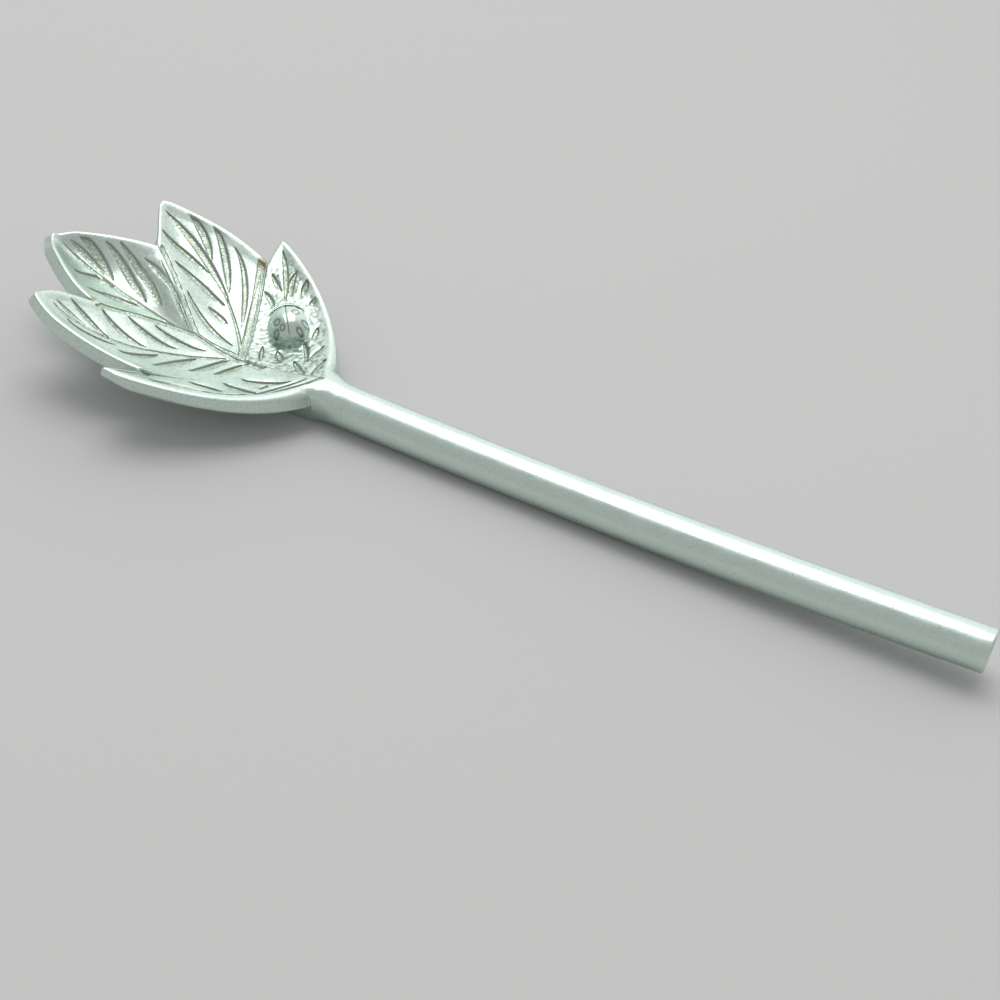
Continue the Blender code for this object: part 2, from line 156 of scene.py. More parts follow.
@dataclass(frozen=True)
class PlanCurve:
    """A plane curve through places in the bowl, kept as a polyline."""

    points: np.ndarray

    HANDLE_PER_BULGE = 4 / 3

    @classmethod
    def bezier(cls, start: Place, start_handle: Place, end_handle: Place, end: Place) -> "PlanCurve":
        """A cubic curve.

        Args:
            start: First place.
            start_handle: Handle of the first place.
            end_handle: Handle of the last place.
            end: Last place.

        Returns:
            The curve from start to end.
        """
        a, b, c, d = (np.array(corner, float) for corner in (start, start_handle, end_handle, end))
        t = np.linspace(0, 1, CURVE_POINTS)[:, None]
        s = 1 - t
        return cls(s**3 * a + 3 * s**2 * t * b + 3 * s * t**2 * c + t**3 * d)

    @classmethod
    def bowed(cls, start: Place, end: Place, bulge: float) -> "PlanCurve":
        """A shallow bow.

        Args:
            start: First place.
            end: Last place.
            bulge: How far the bow stands out to the left of its chord.

        Returns:
            The curve from start to end.
        """
        start, end = np.array(start, float), np.array(end, float)
        chord = end - start
        outward = np.array((-chord[1], chord[0])) / np.hypot(*chord) * bulge * cls.HANDLE_PER_BULGE
        return cls.bezier(start, start + chord / 3 + outward, end - chord / 3 + outward, end)

    @classmethod
    def through(cls, start: Place, middle: Place, end: Place) -> "PlanCurve":
        """A single bend.

        Args:
            start: First place.
            middle: Place that the curve passes half way.
            end: Last place.

        Returns:
            The curve from start to end.
        """
        a, b, c = (np.array(corner, float) for corner in (start, middle, end))
        pull = 2 * b - (a + c) / 2
        return cls.bezier(a, (a + 2 * pull) / 3, (c + 2 * pull) / 3, c)

    def then(self, *others: "PlanCurve") -> "PlanCurve":
        """This curve and others joined end to end."""
        return PlanCurve(np.vstack([self.points] + [other.points[1:] for other in others]))

    def mirrored(self) -> "PlanCurve":
        """The same curve on the other side of the centre line."""
        return PlanCurve(self.points * (1, -1))

    def starts(self) -> np.ndarray:
        """How far along the curve each of its points lies."""
        return np.concatenate([[0], np.cumsum(np.hypot(*np.diff(self.points, axis=0).T))])

    def length(self) -> float:
        """Length of the curve."""
        return float(self.starts()[-1])

    def at(self, shares: np.ndarray) -> np.ndarray:
        """Places along the curve.

        Args:
            shares: Shares of the curve's length.

        Returns:
            One row (reach, offset) for each share.
        """
        starts = self.starts()
        return np.column_stack([np.interp(shares * starts[-1], starts, axis) for axis in self.points.T])

    def measure(self, places: np.ndarray) -> Pair:
        """Where places lie beside the curve.

        Args:
            places: Rows (reach, offset).

        Returns:
            The distance of each place to the curve, and the share of the curve at which it is nearest.
        """
        starts = self.starts()
        steps, runs = np.diff(self.points, axis=0), np.diff(starts)
        nearest = np.full(len(places), np.inf)
        share = np.zeros(len(places))
        for point, step, run, start in zip(self.points, steps, runs, starts):
            away = places - point
            t = np.clip(away @ step / run**2, 0, 1)
            distance = np.hypot(*(away - t[:, None] * step).T)
            closer = distance < nearest
            nearest[closer] = distance[closer]
            share[closer] = (start + t[closer] * run) / starts[-1]
        return nearest, share

    def nearest(self, places: np.ndarray) -> Pair:
        """Where places lie beside the curve, fine only where they are near it.

        Args:
            places: Rows (reach, offset).

        Returns:
            The distance of each place to the curve, and the share of the curve at which it is nearest.
        """
        thinned = np.vstack([self.points[:-1:COARSE_STEP], self.points[-1:]])
        distance, share = PlanCurve(thinned).measure(places)
        near = distance < REFINE_WITHIN
        distance[near], share[near] = self.measure(places[near])
        return distance, share


class Shaper:
    """Modelling steps that the pieces share, done with Blender's operators."""

    @staticmethod
    def deselect() -> None:
        """Leaves nothing selected."""
        bpy.ops.object.select_all(action="DESELECT")

    @staticmethod
    def named(name: str) -> bpy.types.Object:
        """Names the object that was just added.

        Args:
            name: Its name.

        Returns:
            The object.
        """
        piece = bpy.context.object
        piece.name = name
        piece.data.name = name
        return piece

    @classmethod
    def slab(cls, name: str, rows: int, columns: int) -> bpy.types.Object:
        """A closed slab of two grids with a wall between them, from -1 to 1 both ways, to be shaped.

        Args:
            name: Name of the piece.
            rows: Faces along X.
            columns: Faces along Y.

        Returns:
            The slab: its top grid at z = 0 and its bottom grid at z = -1.
        """
        cls.deselect()
        bpy.ops.mesh.primitive_grid_add(x_subdivisions=rows, y_subdivisions=columns, size=2)
        piece = cls.named(name)
        wall = piece.modifiers.new("wall", "SOLIDIFY")
        wall.thickness = 1
        wall.offset = -1
        bpy.ops.object.modifier_apply(modifier=wall.name)
        return piece

    @classmethod
    def tube(cls, name: str, sides: int, steps: int) -> bpy.types.Object:
        """A closed bar of rings, to be shaped.

        Args:
            name: Name of the piece.
            sides: Points in each ring.
            steps: Number of extrusions.

        Returns:
            The bar: ring k is a unit circle at z = k.
        """
        cls.deselect()
        bpy.ops.mesh.primitive_circle_add(vertices=sides, radius=1, fill_type="NGON")
        piece = cls.named(name)
        bpy.ops.object.mode_set(mode="EDIT")
        for _ in range(steps):
            bpy.ops.mesh.extrude_region_move(TRANSFORM_OT_translate={"value": (0, 0, 1)})
        bpy.ops.object.mode_set(mode="OBJECT")
        return piece

    @staticmethod
    def points(piece: bpy.types.Object) -> np.ndarray:
        """Reads the piece's points.

        Args:
            piece: The piece.

        Returns:
            One row for each point.
        """
        flat = np.empty(len(piece.data.vertices) * 3)
        piece.data.vertices.foreach_get("co", flat)
        return flat.reshape(-1, 3)

    @staticmethod
    def place(piece: bpy.types.Object, points: np.ndarray) -> None:
        """Moves the piece's points to places in millimetres."""
        piece.data.vertices.foreach_set("co", (points * MM).ravel())
        piece.data.update()

    @staticmethod
    def mark(piece: bpy.types.Object, name: str, values: np.ndarray) -> None:
        """Writes one value for each point, for a material to read."""
        attribute = piece.data.attributes.new(name, "FLOAT", "POINT")
        attribute.data.foreach_set("value", np.asarray(values, np.float32))

    @staticmethod
    def close(piece: bpy.types.Object) -> None:
        """Merges doubled points, makes the faces agree and shades the piece smooth.

        Which way is out is Blender's own guess, and on the centre leaf it is wrong: its faces point inwards.

        Args:
            piece: The shaped piece.
        """
        bpy.context.view_layer.objects.active = piece
        bpy.ops.object.mode_set(mode="EDIT")
        bpy.ops.mesh.select_all(action="SELECT")
        bpy.ops.mesh.remove_doubles(threshold=SAME_POINT)
        bpy.ops.mesh.dissolve_degenerate(threshold=SAME_POINT)
        bpy.ops.mesh.normals_make_consistent(inside=False)
        bpy.ops.object.mode_set(mode="OBJECT")
        bpy.ops.object.shade_smooth_by_angle(angle=SHARP_ANGLE)


class Wiring:
    """Adds nodes to a node tree and joins them."""

    FIRST_COLOUR = 6
    SECOND_COLOUR = 7
    MIXED_COLOUR = 2
    LIMITS = ("From_Min", "From_Max", "To_Min", "To_Max")

    def __init__(self, tree: bpy.types.NodeTree) -> None:
        """Takes the tree to add to."""
        self.tree = tree

    def add(self, kind: str, settings: dict | None = None, **inputs: object) -> bpy.types.Node:
        """Adds a node.

        Args:
            kind: The node's type.
            settings: Properties of the node.
            **inputs: Its inputs by name, with _ for a space: a socket to join, or a plain value.

        Returns:
            The node.
        """
        node = self.tree.nodes.new(kind)
        for name, value in (settings or {}).items():
            setattr(node, name, value)
        for name, value in inputs.items():
            self.feed(node.inputs[name.replace("_", " ")], value)
        return node

    def feed(self, socket: bpy.types.NodeSocket, value: object) -> None:
        """Joins a socket to another, or sets its plain value.

        Args:
            socket: The socket to feed.
            value: A socket to join it to, or a plain value.
        """
        if isinstance(value, bpy.types.NodeSocket):
            self.tree.links.new(value, socket)
        else:
            socket.default_value = value

    def math(self, operation: str, first: object, second: object) -> bpy.types.NodeSocket:
        """Arithmetic on two values.

        Args:
            operation: What is done with them.
            first: A socket or a plain value.
            second: A socket or a plain value.

        Returns:
            The result.
        """
        node = self.add("ShaderNodeMath", {"operation": operation})
        self.feed(node.inputs[0], first)
        self.feed(node.inputs[1], second)
        return node.outputs[0]

    def blend(self, share: object, first: object, second: object) -> bpy.types.NodeSocket:
        """A colour between two colours.

        Args:
            share: How far it lies towards the second colour.
            first: A colour or its socket.
            second: A colour or its socket.

        Returns:
            The colour.
        """
        node = self.add("ShaderNodeMix", {"data_type": "RGBA"})
        self.feed(node.inputs["Factor"], share)
        self.feed(node.inputs[self.FIRST_COLOUR], first)
        self.feed(node.inputs[self.SECOND_COLOUR], second)
        return node.outputs[self.MIXED_COLOUR]

    def remap(self, value: bpy.types.NodeSocket, given: Range, wanted: Range) -> bpy.types.NodeSocket:
        """A value carried smoothly from one range to another, and held inside it.

        Args:
            value: The value.
            given: Range that it comes from.
            wanted: Range that it goes to.

        Returns:
            The value in the wanted range.
        """
        limits = dict(zip(self.LIMITS, given + wanted))
        node = self.add("ShaderNodeMapRange", {"interpolation_type": "SMOOTHSTEP"}, Value=value, **limits)
        return node.outputs[0]

    def noise(self, place: bpy.types.NodeSocket, scale: float, detail: float) -> bpy.types.NodeSocket:
        """Even noise in space, from 0 to 1."""
        return self.add("ShaderNodeTexNoise", Vector=place, Scale=scale, Detail=detail).outputs["Fac"]


class SurfaceGroups:
    """Surface effects that several finishes use, each a node group built once."""

    CAST = "cast_skin"
    PATINA = "groove_patina"

    GRAIN_SCALE = 1900.0
    GRAIN_DETAIL = 3.0
    PIT_SCALE = 620.0
    PIT_EDGE = (0.05, 0.2)
    PATCH_SCALE = 160.0
    PATCH_DETAIL = 2.0
    PATCH_EDGE = (0.5, 0.62)
    SCRATCH_SCALES = (70.0, 2400.0, 2400.0)
    SCRATCH_DETAIL = 2.0
    MOTTLE_SCALE = 210.0
    MOTTLE_DETAIL = 4.0
    SPECKLE_EDGE = (0.42, 0.68)
    SPECKLE_STRENGTH = (0.0, 0.3)

    STIPPLE_SCALE = 2100.0
    STIPPLE_SMOOTHNESS = 0.4
    STIPPLE_EDGE = (0.15, 0.6)
    DIRT_SCALE = 420.0
    DIRT_DETAIL = 5.0
    DIRT_BETWEEN_GRAINS = 0.6
    DIRT_RANGE = (0.0, 0.7)

    RISING = (0.0, 1.0)
    FALLING = (1.0, 0.0)

    @staticmethod
    def _start(
            name: str, inputs: dict[str, float],
            outputs: tuple[str, ...]) -> tuple[Wiring, bpy.types.Node, bpy.types.Node]:
        """An empty group with its sockets.

        Args:
            name: Name of the group.
            inputs: Its inputs with their plain values.
            outputs: Its outputs.

        Returns:
            The group's wiring, its input node and its output node.
        """
        group = bpy.data.node_groups.new(name, "ShaderNodeTree")
        for label, value in inputs.items():
            socket = group.interface.new_socket(label, in_out="INPUT", socket_type="NodeSocketFloat")
            socket.default_value = value
        for label in outputs:
            group.interface.new_socket(label, in_out="OUTPUT", socket_type="NodeSocketFloat")
        wiring = Wiring(group)
        return wiring, wiring.add("NodeGroupInput"), wiring.add("NodeGroupOutput")

    @classmethod
    def cast_skin(cls) -> bpy.types.NodeTree:
        """Skin of polished cast metal: fine grain, scattered pits, long scratches and slow mottling.

        Returns:
            The group, made at its first use.
        """
        if cls.CAST in bpy.data.node_groups:
            return bpy.data.node_groups[cls.CAST]
        wiring, given, result = cls._start(
            cls.CAST, {"Grain": 0.3, "Pits": 0.5, "Scratches": 0.3}, ("Height", "Mottle", "Speckle"))
        place = wiring.add("ShaderNodeTexCoord").outputs["Object"]
        fine = wiring.noise(place, cls.GRAIN_SCALE, cls.GRAIN_DETAIL)
        pits = wiring.add("ShaderNodeTexVoronoi", Vector=place, Scale=cls.PIT_SCALE)
        pit = wiring.remap(pits.outputs["Distance"], cls.PIT_EDGE, cls.FALLING)
        patch = wiring.noise(place, cls.PATCH_SCALE, cls.PATCH_DETAIL)
        pit = wiring.math("MULTIPLY", pit, wiring.remap(patch, cls.PATCH_EDGE, cls.RISING))
        stretched = wiring.add("ShaderNodeMapping", Vector=place, Scale=cls.SCRATCH_SCALES)
        scratch = wiring.noise(stretched.outputs[0], 1.0, cls.SCRATCH_DETAIL)
        mottle = wiring.noise(place, cls.MOTTLE_SCALE, cls.MOTTLE_DETAIL)

        pitted = wiring.math("MULTIPLY", pit, given.outputs["Pits"])
        scratched = wiring.math("MULTIPLY", scratch, given.outputs["Scratches"])
        height = wiring.math("MULTIPLY", fine, given.outputs["Grain"])
        height = wiring.math("SUBTRACT", height, pitted)
        speckle = wiring.remap(fine, cls.SPECKLE_EDGE, cls.SPECKLE_STRENGTH)
        speckle = wiring.math("MULTIPLY", speckle, given.outputs["Grain"])
        wiring.feed(result.inputs["Height"], wiring.math("ADD", height, scratched))
        wiring.feed(result.inputs["Mottle"], mottle)
        wiring.feed(result.inputs["Speckle"], wiring.math("MAXIMUM", speckle, pitted))
        return wiring.tree

    @classmethod
    def groove_patina(cls) -> bpy.types.NodeTree:
        """Stippled floor of the veins, dulled where dirt has stayed between the grains, with painted shade
        and dirt along their walls.

        Returns:
            The group, made at its first use.
        """
        if cls.PATINA in bpy.data.node_groups:
            return bpy.data.node_groups[cls.PATINA]
        wiring, given, result = cls._start(
            cls.PATINA, {"Mask": 0.0, "Wear": 0.48, "Walls": 2.8}, ("Dullness", "Wall", "Height"))
        mask = given.outputs["Mask"]
        place = wiring.add("ShaderNodeTexCoord").outputs["Object"]
        grains = wiring.add("ShaderNodeTexVoronoi", {"feature": "SMOOTH_F1"}, Vector=place,
                            Scale=cls.STIPPLE_SCALE, Smoothness=cls.STIPPLE_SMOOTHNESS)
        between = wiring.remap(grains.outputs["Distance"], cls.STIPPLE_EDGE, cls.RISING)
        patch = wiring.noise(place, cls.DIRT_SCALE, cls.DIRT_DETAIL)
        dirt = wiring.math("ADD", wiring.math("MULTIPLY", between, cls.DIRT_BETWEEN_GRAINS), patch)
        dirt = wiring.math("SUBTRACT", dirt, given.outputs["Wear"])
        dirt = wiring.math("MULTIPLY", wiring.remap(dirt, cls.DIRT_RANGE, cls.DIRT_RANGE), mask)
        # Painted shade and dirt: a share that peaks on the walls of the veins, where the mask rises, for
        # darkening them.
        wall = wiring.math("MULTIPLY", mask, wiring.math("SUBTRACT", 1.0, mask))
        wall = wiring.math("MULTIPLY", wall, given.outputs["Walls"])
        hollow = wiring.math("MULTIPLY", between, mask)
        wiring.feed(result.inputs["Dullness"], dirt)
        wiring.feed(result.inputs["Wall"], wall)
        wiring.feed(result.inputs["Height"], wiring.math("MULTIPLY", hollow, -1.0))
        return wiring.tree


@dataclass(frozen=True)
class MetalFinish:
    """Polished silver-coloured cast metal, with a dulled floor where the piece has sunken veins and painted
    shade and dirt along their walls.

    Attributes:
        name: Name of the material.
        colour: Colour of the clean metal.
        oxide: Colour of the dulled metal.
        wall_shade_and_dirt: Colour painted along the walls of the veins, as shade and as dirt.
        residue: Colour of the residue in the notches.
        roughness: Roughness of the clean metal.
        dull_roughness: Roughness of the dulled metal.
        grain: Strength of the fine cast grain.
        pits: Strength of the pits.
        scratches: Strength of the scratches along the spoon.
        veined: Whether the piece is marked with grooves, and perhaps with residue.
    """

    name: str
    colour: Colour = (0.655, 0.775, 0.72, 1)
    oxide: Colour = (0.31, 0.34, 0.22, 1)
    # Painted shade and dirt for the walls of the veins.
    wall_shade_and_dirt: Colour = (0.17, 0.20, 0.13, 1)
    residue: Colour = (0.26, 0.20, 0.07, 1)
    roughness: float = 0.34
    dull_roughness: float = 0.5
    grain: float = 0.8
    pits: float = 0.6
    scratches: float = 0.35
    veined: bool = False

    SKIN_DEPTH = 0.00008
    SKIN_STRENGTH = 0.5
    STIPPLE_DEPTH = 0.00004
    STIPPLE_STRENGTH = 0.8
    MOTTLE_RANGE = (0.25, 0.75)
    MOTTLE_ROUGHNESS = (-0.05, 0.07)
    STAIN_EDGE = (0.3, 0.6)
    STAIN_STRENGTH = (0.3, 1.0)
    CLEAN_TO_DULL = (0.0, 1.0)

    def material(self) -> bpy.types.Material:
        """The finish as a material, made once.

        Returns:
            The material.
        """
        if self.name in bpy.data.materials:
            return bpy.data.materials[self.name]
        material = bpy.data.materials.new(self.name)
        material.use_nodes = True
        wiring = Wiring(material.node_tree)
        surface = material.node_tree.nodes["Principled BSDF"]
        skin = wiring.add("ShaderNodeGroup", {"node_tree": SurfaceGroups.cast_skin()}, Grain=self.grain,
                          Pits=self.pits, Scratches=self.scratches)
        mottle = wiring.remap(skin.outputs["Mottle"], self.MOTTLE_RANGE, self.MOTTLE_ROUGHNESS)
        relief = wiring.add("ShaderNodeBump", Strength=self.SKIN_STRENGTH, Distance=self.SKIN_DEPTH,
                            Height=skin.outputs["Height"])
        wiring.feed(surface.inputs["Metallic"], 1.0)
        if self.veined:
            groove = wiring.add("ShaderNodeAttribute", {"attribute_name": Leaf.GROOVE})
            patina = wiring.add("ShaderNodeGroup", {"node_tree": SurfaceGroups.groove_patina()},
                                Mask=groove.outputs["Fac"])
            dull = wiring.math("MAXIMUM", patina.outputs["Dullness"], skin.outputs["Speckle"])
            colour = wiring.blend(dull, self.colour, self.oxide)
            # Painted shade and dirt: the walls of the veins are darkened towards this colour.
            colour = wiring.blend(patina.outputs["Wall"], colour, self.wall_shade_and_dirt)
            stained = wiring.add("ShaderNodeAttribute", {"attribute_name": Leaf.RESIDUE}).outputs["Fac"]
            patchy = wiring.remap(skin.outputs["Mottle"], self.STAIN_EDGE, self.STAIN_STRENGTH)
            stained = wiring.math("MULTIPLY", stained, patchy)
            colour = wiring.blend(stained, colour, self.residue)
            dull = wiring.math("MAXIMUM", dull, stained)
            rough = wiring.remap(dull, self.CLEAN_TO_DULL, (self.roughness, self.dull_roughness))
            relief = wiring.add("ShaderNodeBump", Strength=self.STIPPLE_STRENGTH, Distance=self.STIPPLE_DEPTH,
                                Height=patina.outputs["Height"], Normal=relief.outputs["Normal"])
        else:
            colour = wiring.blend(skin.outputs["Speckle"], self.colour, self.oxide)
            rough = self.roughness
        wiring.feed(surface.inputs["Base Color"], colour)
        wiring.feed(surface.inputs["Roughness"], wiring.math("ADD", mottle, rough))
        wiring.feed(surface.inputs["Normal"], relief.outputs["Normal"])
        return material


LEAF_FINISH = MetalFinish("veined_leaf_metal", veined=True)
ROD_FINISH = MetalFinish("brushed_rod_metal", roughness=0.3, grain=0.5)
LADYBIRD_FINISH = MetalFinish(
    "ladybird_shell_metal", roughness=0.18, grain=0.3, pits=0.2, scratches=0.1, veined=True)


def dress(piece: bpy.types.Object, finish: MetalFinish, slot: Slot, *nodes: str) -> None:
    """Gives a finished piece its material and its place in the frame.

    Args:
        piece: The piece.
        finish: Its finish.
        slot: The record's slot for that finish; not used.
        *nodes: The CAD nodes that it stands for.
    """
    piece.data.materials.clear()
    piece.data.materials.append(finish.material())
    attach(piece, BODY)
    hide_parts(*nodes)
    triangles = sum(len(face.vertices) - 2 for face in piece.data.polygons)
    LOG.info("%s: %d triangles, for %s", piece.name, triangles, ", ".join(nodes))


@dataclass(frozen=True)
class Dish:
    """The dish that all the leaves follow, and the thickness of their blades."""

    floor_height: float = 6.9
    floor_reach: float = 33.0
    length_radius: float = 105.0
    cross_radius: float = 48.5
    blade: float = 3.4
    tip_taper_start: float = 0.86
    lap_step: float = 0.3
    root_reach: float = 10.0
    root_half_width: float = 5.3
    root_rise: float = 0.8
    root_rise_run: float = 6.0
    root_rounding: float = 5.0
    root_drop: float = 3.0

    def height(self, reach: Values, offset: Values) -> np.ndarray:
        """Height of the dish."""
        lengthwise = (reach - self.floor_reach) ** 2 / (2 * self.length_radius)
        return self.floor_height + lengthwise + offset**2 / (2 * self.cross_radius)

    def drop(self, reach: np.ndarray, thickness: np.ndarray) -> Pair:
        """Where the underside lies, square to the dish's slope.

        Args:
            reach: Where the top lies.
            thickness: Thickness of the blade there.

        Returns:
            How far along reach, and how far down, the underside lies from the top.
        """
        slope = (reach - self.floor_reach) / self.length_radius
        down = thickness / np.sqrt(1 + slope**2)
        return slope * down, down

    def underside(self, reach: Values, offset: Values) -> np.ndarray:
        """Height of the underside of the blades."""
        shift, down = self.drop(reach, self.blade)
        return self.height(reach - shift, offset) - down

    def rise(self, reach: Values) -> np.ndarray:
        """Climb of the outer leaves towards the top of the neck."""
        return self.root_rise * np.exp((self.root_reach - reach) / self.root_rise_run)

    def outer_top(self, reach: Values, offset: Values) -> np.ndarray:
        """Height of the top of an outer leaf."""
        return self.height(reach, offset) + self.lap_step + self.rise(reach)


@dataclass(frozen=True)
class Vein:
    """A sunken vein of a leaf.

    Attributes:
        start: Its place nearest the leaf's edge or tip.
        middle: A place half way.
        end: Its place nearest the midrib or base.
        width: Its greatest width.
        sink: How deep it is.
        form: How its width runs.
    """

    start: Place
    middle: Place
    end: Place
    width: float
    sink: Sink
    form: VeinForm

    LENS_POWER = 0.65
    LEAST_HALF_WIDTH = 0.02
    FLOOR_SHARE = 0.6
    WALL = 0.2
    SWELL_REACH = 0.7

    def press(self, places: np.ndarray) -> Pair:
        """How the vein presses into the leaf.

        Args:
            places: Rows (reach, offset).

        Returns:
            How fully each place lies on the vein's floor, and how near it is to the vein, both 0 to 1.
        """
        distance, share = PlanCurve.through(self.start, self.middle, self.end).measure(places)
        if self.form is VeinForm.LENS:
            fullness = np.sin(np.pi * share) ** self.LENS_POWER
        else:
            fullness = np.sqrt(1 - share)
        half = np.maximum(self.width / 2 * fullness, self.LEAST_HALF_WIDTH)
        floor = 1 - smooth_step(half * self.FLOOR_SHARE, half + self.WALL * fullness, distance)
        near = np.exp(-((distance / (self.SWELL_REACH + self.width / 2)) ** 2)) * fullness
        return floor, near


def veins(
        sink: Sink, *rows: tuple[Place, Place, Place, float], form: VeinForm = VeinForm.LENS) -> list[Vein]:
    """Veins of one depth and form, from the start, middle, end and width of each."""
    return [Vein(*row, sink, form) for row in rows]


CENTRE_VEINS = (
    *veins(
        Sink.LINE,
        ((82.0, 0.8), (64.0, 0.9), (45.5, 0.6), 0.6),
        ((81.0, 2.2), (76.4, 2.5), (71.0, 1.8), 1.3),
        ((61.8, 11.2), (54.0, 5.6), (46.2, 0.8), 0.6),
    ),
    *veins(
        Sink.GROOVE,
        ((65.5, 10.0), (59.2, 8.4), (52.1, 5.0), 1.1),
        ((67.5, -3.7), (65.6, -2.4), (64.0, -0.7), 1.2),
        ((63.0, -9.0), (57.0, -5.5), (51.0, -1.5), 1.2),
    ),
    *veins(
        Sink.HOLLOW,
        ((80.0, 3.9), (75.2, 4.3), (68.6, 2.0), 1.9),
        ((74.4, 6.9), (68.9, 6.1), (59.5, 2.2), 1.8),
        ((71.8, 9.0), (63.4, 6.9), (56.0, 3.1), 1.8),
        ((74.7, -4.9), (72.5, -1.0), (67.5, 0.6), 2.0),
        ((68.3, -8.4), (66.2, -3.7), (60.3, 0.5), 1.9),
    ),
)

INNER_RIGHT_VEINS = (
    *veins(
        Sink.LINE,
        ((33.5, 2.2), (41.5, 11.2), (50.7, 18.0), 0.7),
        form=VeinForm.RIB,
    ),
    *veins(
        Sink.GROOVE,
        ((69.1, 23.3), (57.5, 21.0), (45.0, 14.5), 1.7),
        ((51.4, 26.3), (45.1, 21.2), (38.3, 9.6), 1.2),
        ((47.5, 9.6), (44.9, 9.5), (41.5, 8.7), 1.3),
        ((52.7, 8.7), (46.1, 5.6), (36.3, 3.2), 1.3),
        ((42.7, 24.4), (37.6, 12.4), (32.6, 1.2), 1.7),
    ),
    *veins(
        Sink.HOLLOW,
        ((64.7, 26.4), (59.4, 24.8), (54.2, 20.8), 1.8),
        ((58.8, 27.3), (53.7, 24.8), (46.2, 16.3), 1.7),
        ((66.6, 17.9), (62.0, 18.2), (52.9, 17.8), 1.5),
        ((59.6, 13.5), (52.8, 13.4), (45.0, 12.9), 1.7),
    ),
)

INNER_LEFT_VEINS = (
    *veins(
        Sink.LINE,
        ((67.0, 22.0), (57.0, 20.5), (46.0, 12.8), 0.8),
        ((66.9, 20.7), (62.6, 20.6), (55.6, 20.6), 0.7),
    ),
    *veins(
        Sink.LINE,
        ((33.2, 0.8), (40.0, 6.7), (49.0, 15.5), 0.7),
        form=VeinForm.RIB,
    ),
    *veins(
        Sink.GROOVE,
        ((65.4, 17.7), (61.3, 18.1), (53.9, 19.0), 0.9),
        ((60.3, 13.5), (54.7, 14.5), (48.1, 13.7), 0.9),
        ((55.8, 10.0), (49.2, 9.9), (43.7, 7.7), 0.9),
        ((50.8, 6.8), (45.4, 5.8), (39.3, 3.1), 0.9),
        ((62.1, 23.4), (57.4, 23.3), (51.4, 19.8), 0.9),
    ),
    *veins(
        Sink.HOLLOW,
        ((50.0, 21.6), (47.3, 19.0), (45.2, 13.7), 2.0),
        ((42.6, 19.1), (41.2, 13.0), (39.4, 7.0), 2.1),
        ((37.1, 13.4), (35.6, 7.7), (34.0, 1.5), 1.8),
        ((32.8, 10.2), (31.4, 5.1), (29.9, 0.3), 1.6),
    ),
)

OUTER_RIGHT_VEINS = (
    *veins(
        Sink.GROOVE,
        ((41.6, 32.1), (37.5, 27.2), (33.7, 21.1), 1.2),
        ((40.7, 26.2), (38.3, 24.4), (35.8, 22.9), 1.0),
        ((39.6, 21.3), (37.4, 20.2), (35.0, 18.5), 1.1),
        ((27.2, 24.0), (27.3, 23.0), (27.4, 21.6), 1.2),
        ((22.0, 16.7), (21.4, 14.7), (21.0, 12.6), 1.2),
        ((17.2, 11.6), (17.6, 8.6), (17.8, 5.3), 0.9),
        ((14.1, 7.4), (14.2, 3.9), (13.8, 0.3), 0.9),
        ((21.0, 4.8), (18.0, 2.2), (15.5, 0.5), 1.2),
        ((22.7, 11.7), (20.1, 8.6), (18.0, 5.0), 0.8),
        ((26.4, 6.4), (24.8, 4.9), (23.2, 3.8), 1.5),
        ((30.5, 6.5), (29.2, 4.0), (27.8, 1.3), 0.8),
    ),
    *veins(
        Sink.HOLLOW,
        ((35.2, 28.9), (35.0, 25.9), (32.8, 22.4), 1.5),
        ((31.9, 27.6), (31.2, 25.7), (30.7, 23.4), 1.5),
    ),
)

OUTER_LEFT_VEINS = (
    *veins(
        Sink.GROOVE,
        ((20.8, 10.4), (20.5, 8.9), (20.2, 7.5), 0.9),
        ((20.2, 16.2), (18.3, 9.4), (14.0, 0.9), 0.9),
        ((18.3, 14.9), (16.0, 7.8), (11.4, 0.9), 0.9),
        ((38.0, 27.5), (33.0, 24.0), (26.3, 20.8), 3.0),
        ((24.6, 24.4), (23.2, 21.6), (20.5, 16.9), 1.3),
    ),
    *veins(
        Sink.HOLLOW,
        ((26.9, 8.1), (21.6, 6.5), (16.8, 3.5), 1.6),
        ((28.5, 12.7), (23.5, 12.9), (19.1, 12.7), 1.5),
        ((33.6, 18.7), (29.6, 17.5), (25.2, 17.7), 1.5),
    ),
)


@dataclass(frozen=True)
class Tip:
    """A blunt leaf tip.

    Attributes:
        over: How far the leaf's edges would meet beyond the tip if they ran on.
        cap: Length over which the edges round into each other.
    """

    over: float
    cap: float


@dataclass(frozen=True)
class Flare:
    """How far the underside stands out beyond the top, along the low edge, the high edge and at the tip."""

    low: float = 0.0
    high: float = 0.0
    tip: float = 0.0


@dataclass(frozen=True)
class Rim:
    """Rounding of a leaf's rim.

    Attributes:
        low: Its width along the low edge.
        high: Its width along the high edge.
        depth: Its depth, as a share of its width.
    """

    low: float = 0.9
    high: float = 0.9
    depth: float = 1.0

    TURN = (-0.4, 0.9)

    def width(self, across: np.ndarray) -> np.ndarray:
        """Width at shares across the leaf."""
        return self.low + (self.high - self.low) * smooth_step(*self.TURN, across)


@dataclass(frozen=True)
class Bands:
    """Widths of the stippled bands beside the low seam, the high seam and the rim, 0 where there is none."""

    low_seam: float = 0.0
    high_seam: float = 0.0
    rim: float = 0.0

    MARGIN = 0.3
    WALL = 0.1

    def press(self, distance: np.ndarray, width: float) -> np.ndarray:
        """How a band presses into a leaf.

        Args:
            distance: Distances from the line that the band follows.
            width: Its width.

        Returns:
            How fully each place lies on the band's floor, 0 to 1.
        """
        if width == 0:
            return np.zeros_like(distance)
        half = width / 2
        return 1 - smooth_step(half - self.WALL, half + self.WALL, np.abs(distance - half - self.MARGIN))


@dataclass(frozen=True)
class Stain:
    """Brown residue in a notch: its place and its radius."""

    place: Place
    radius: float

    def cover(self, places: np.ndarray) -> np.ndarray:
        """How fully places lie under the residue, 0 to 1."""
        return np.exp(-((np.hypot(*(places - self.place).T) / self.radius) ** 2))


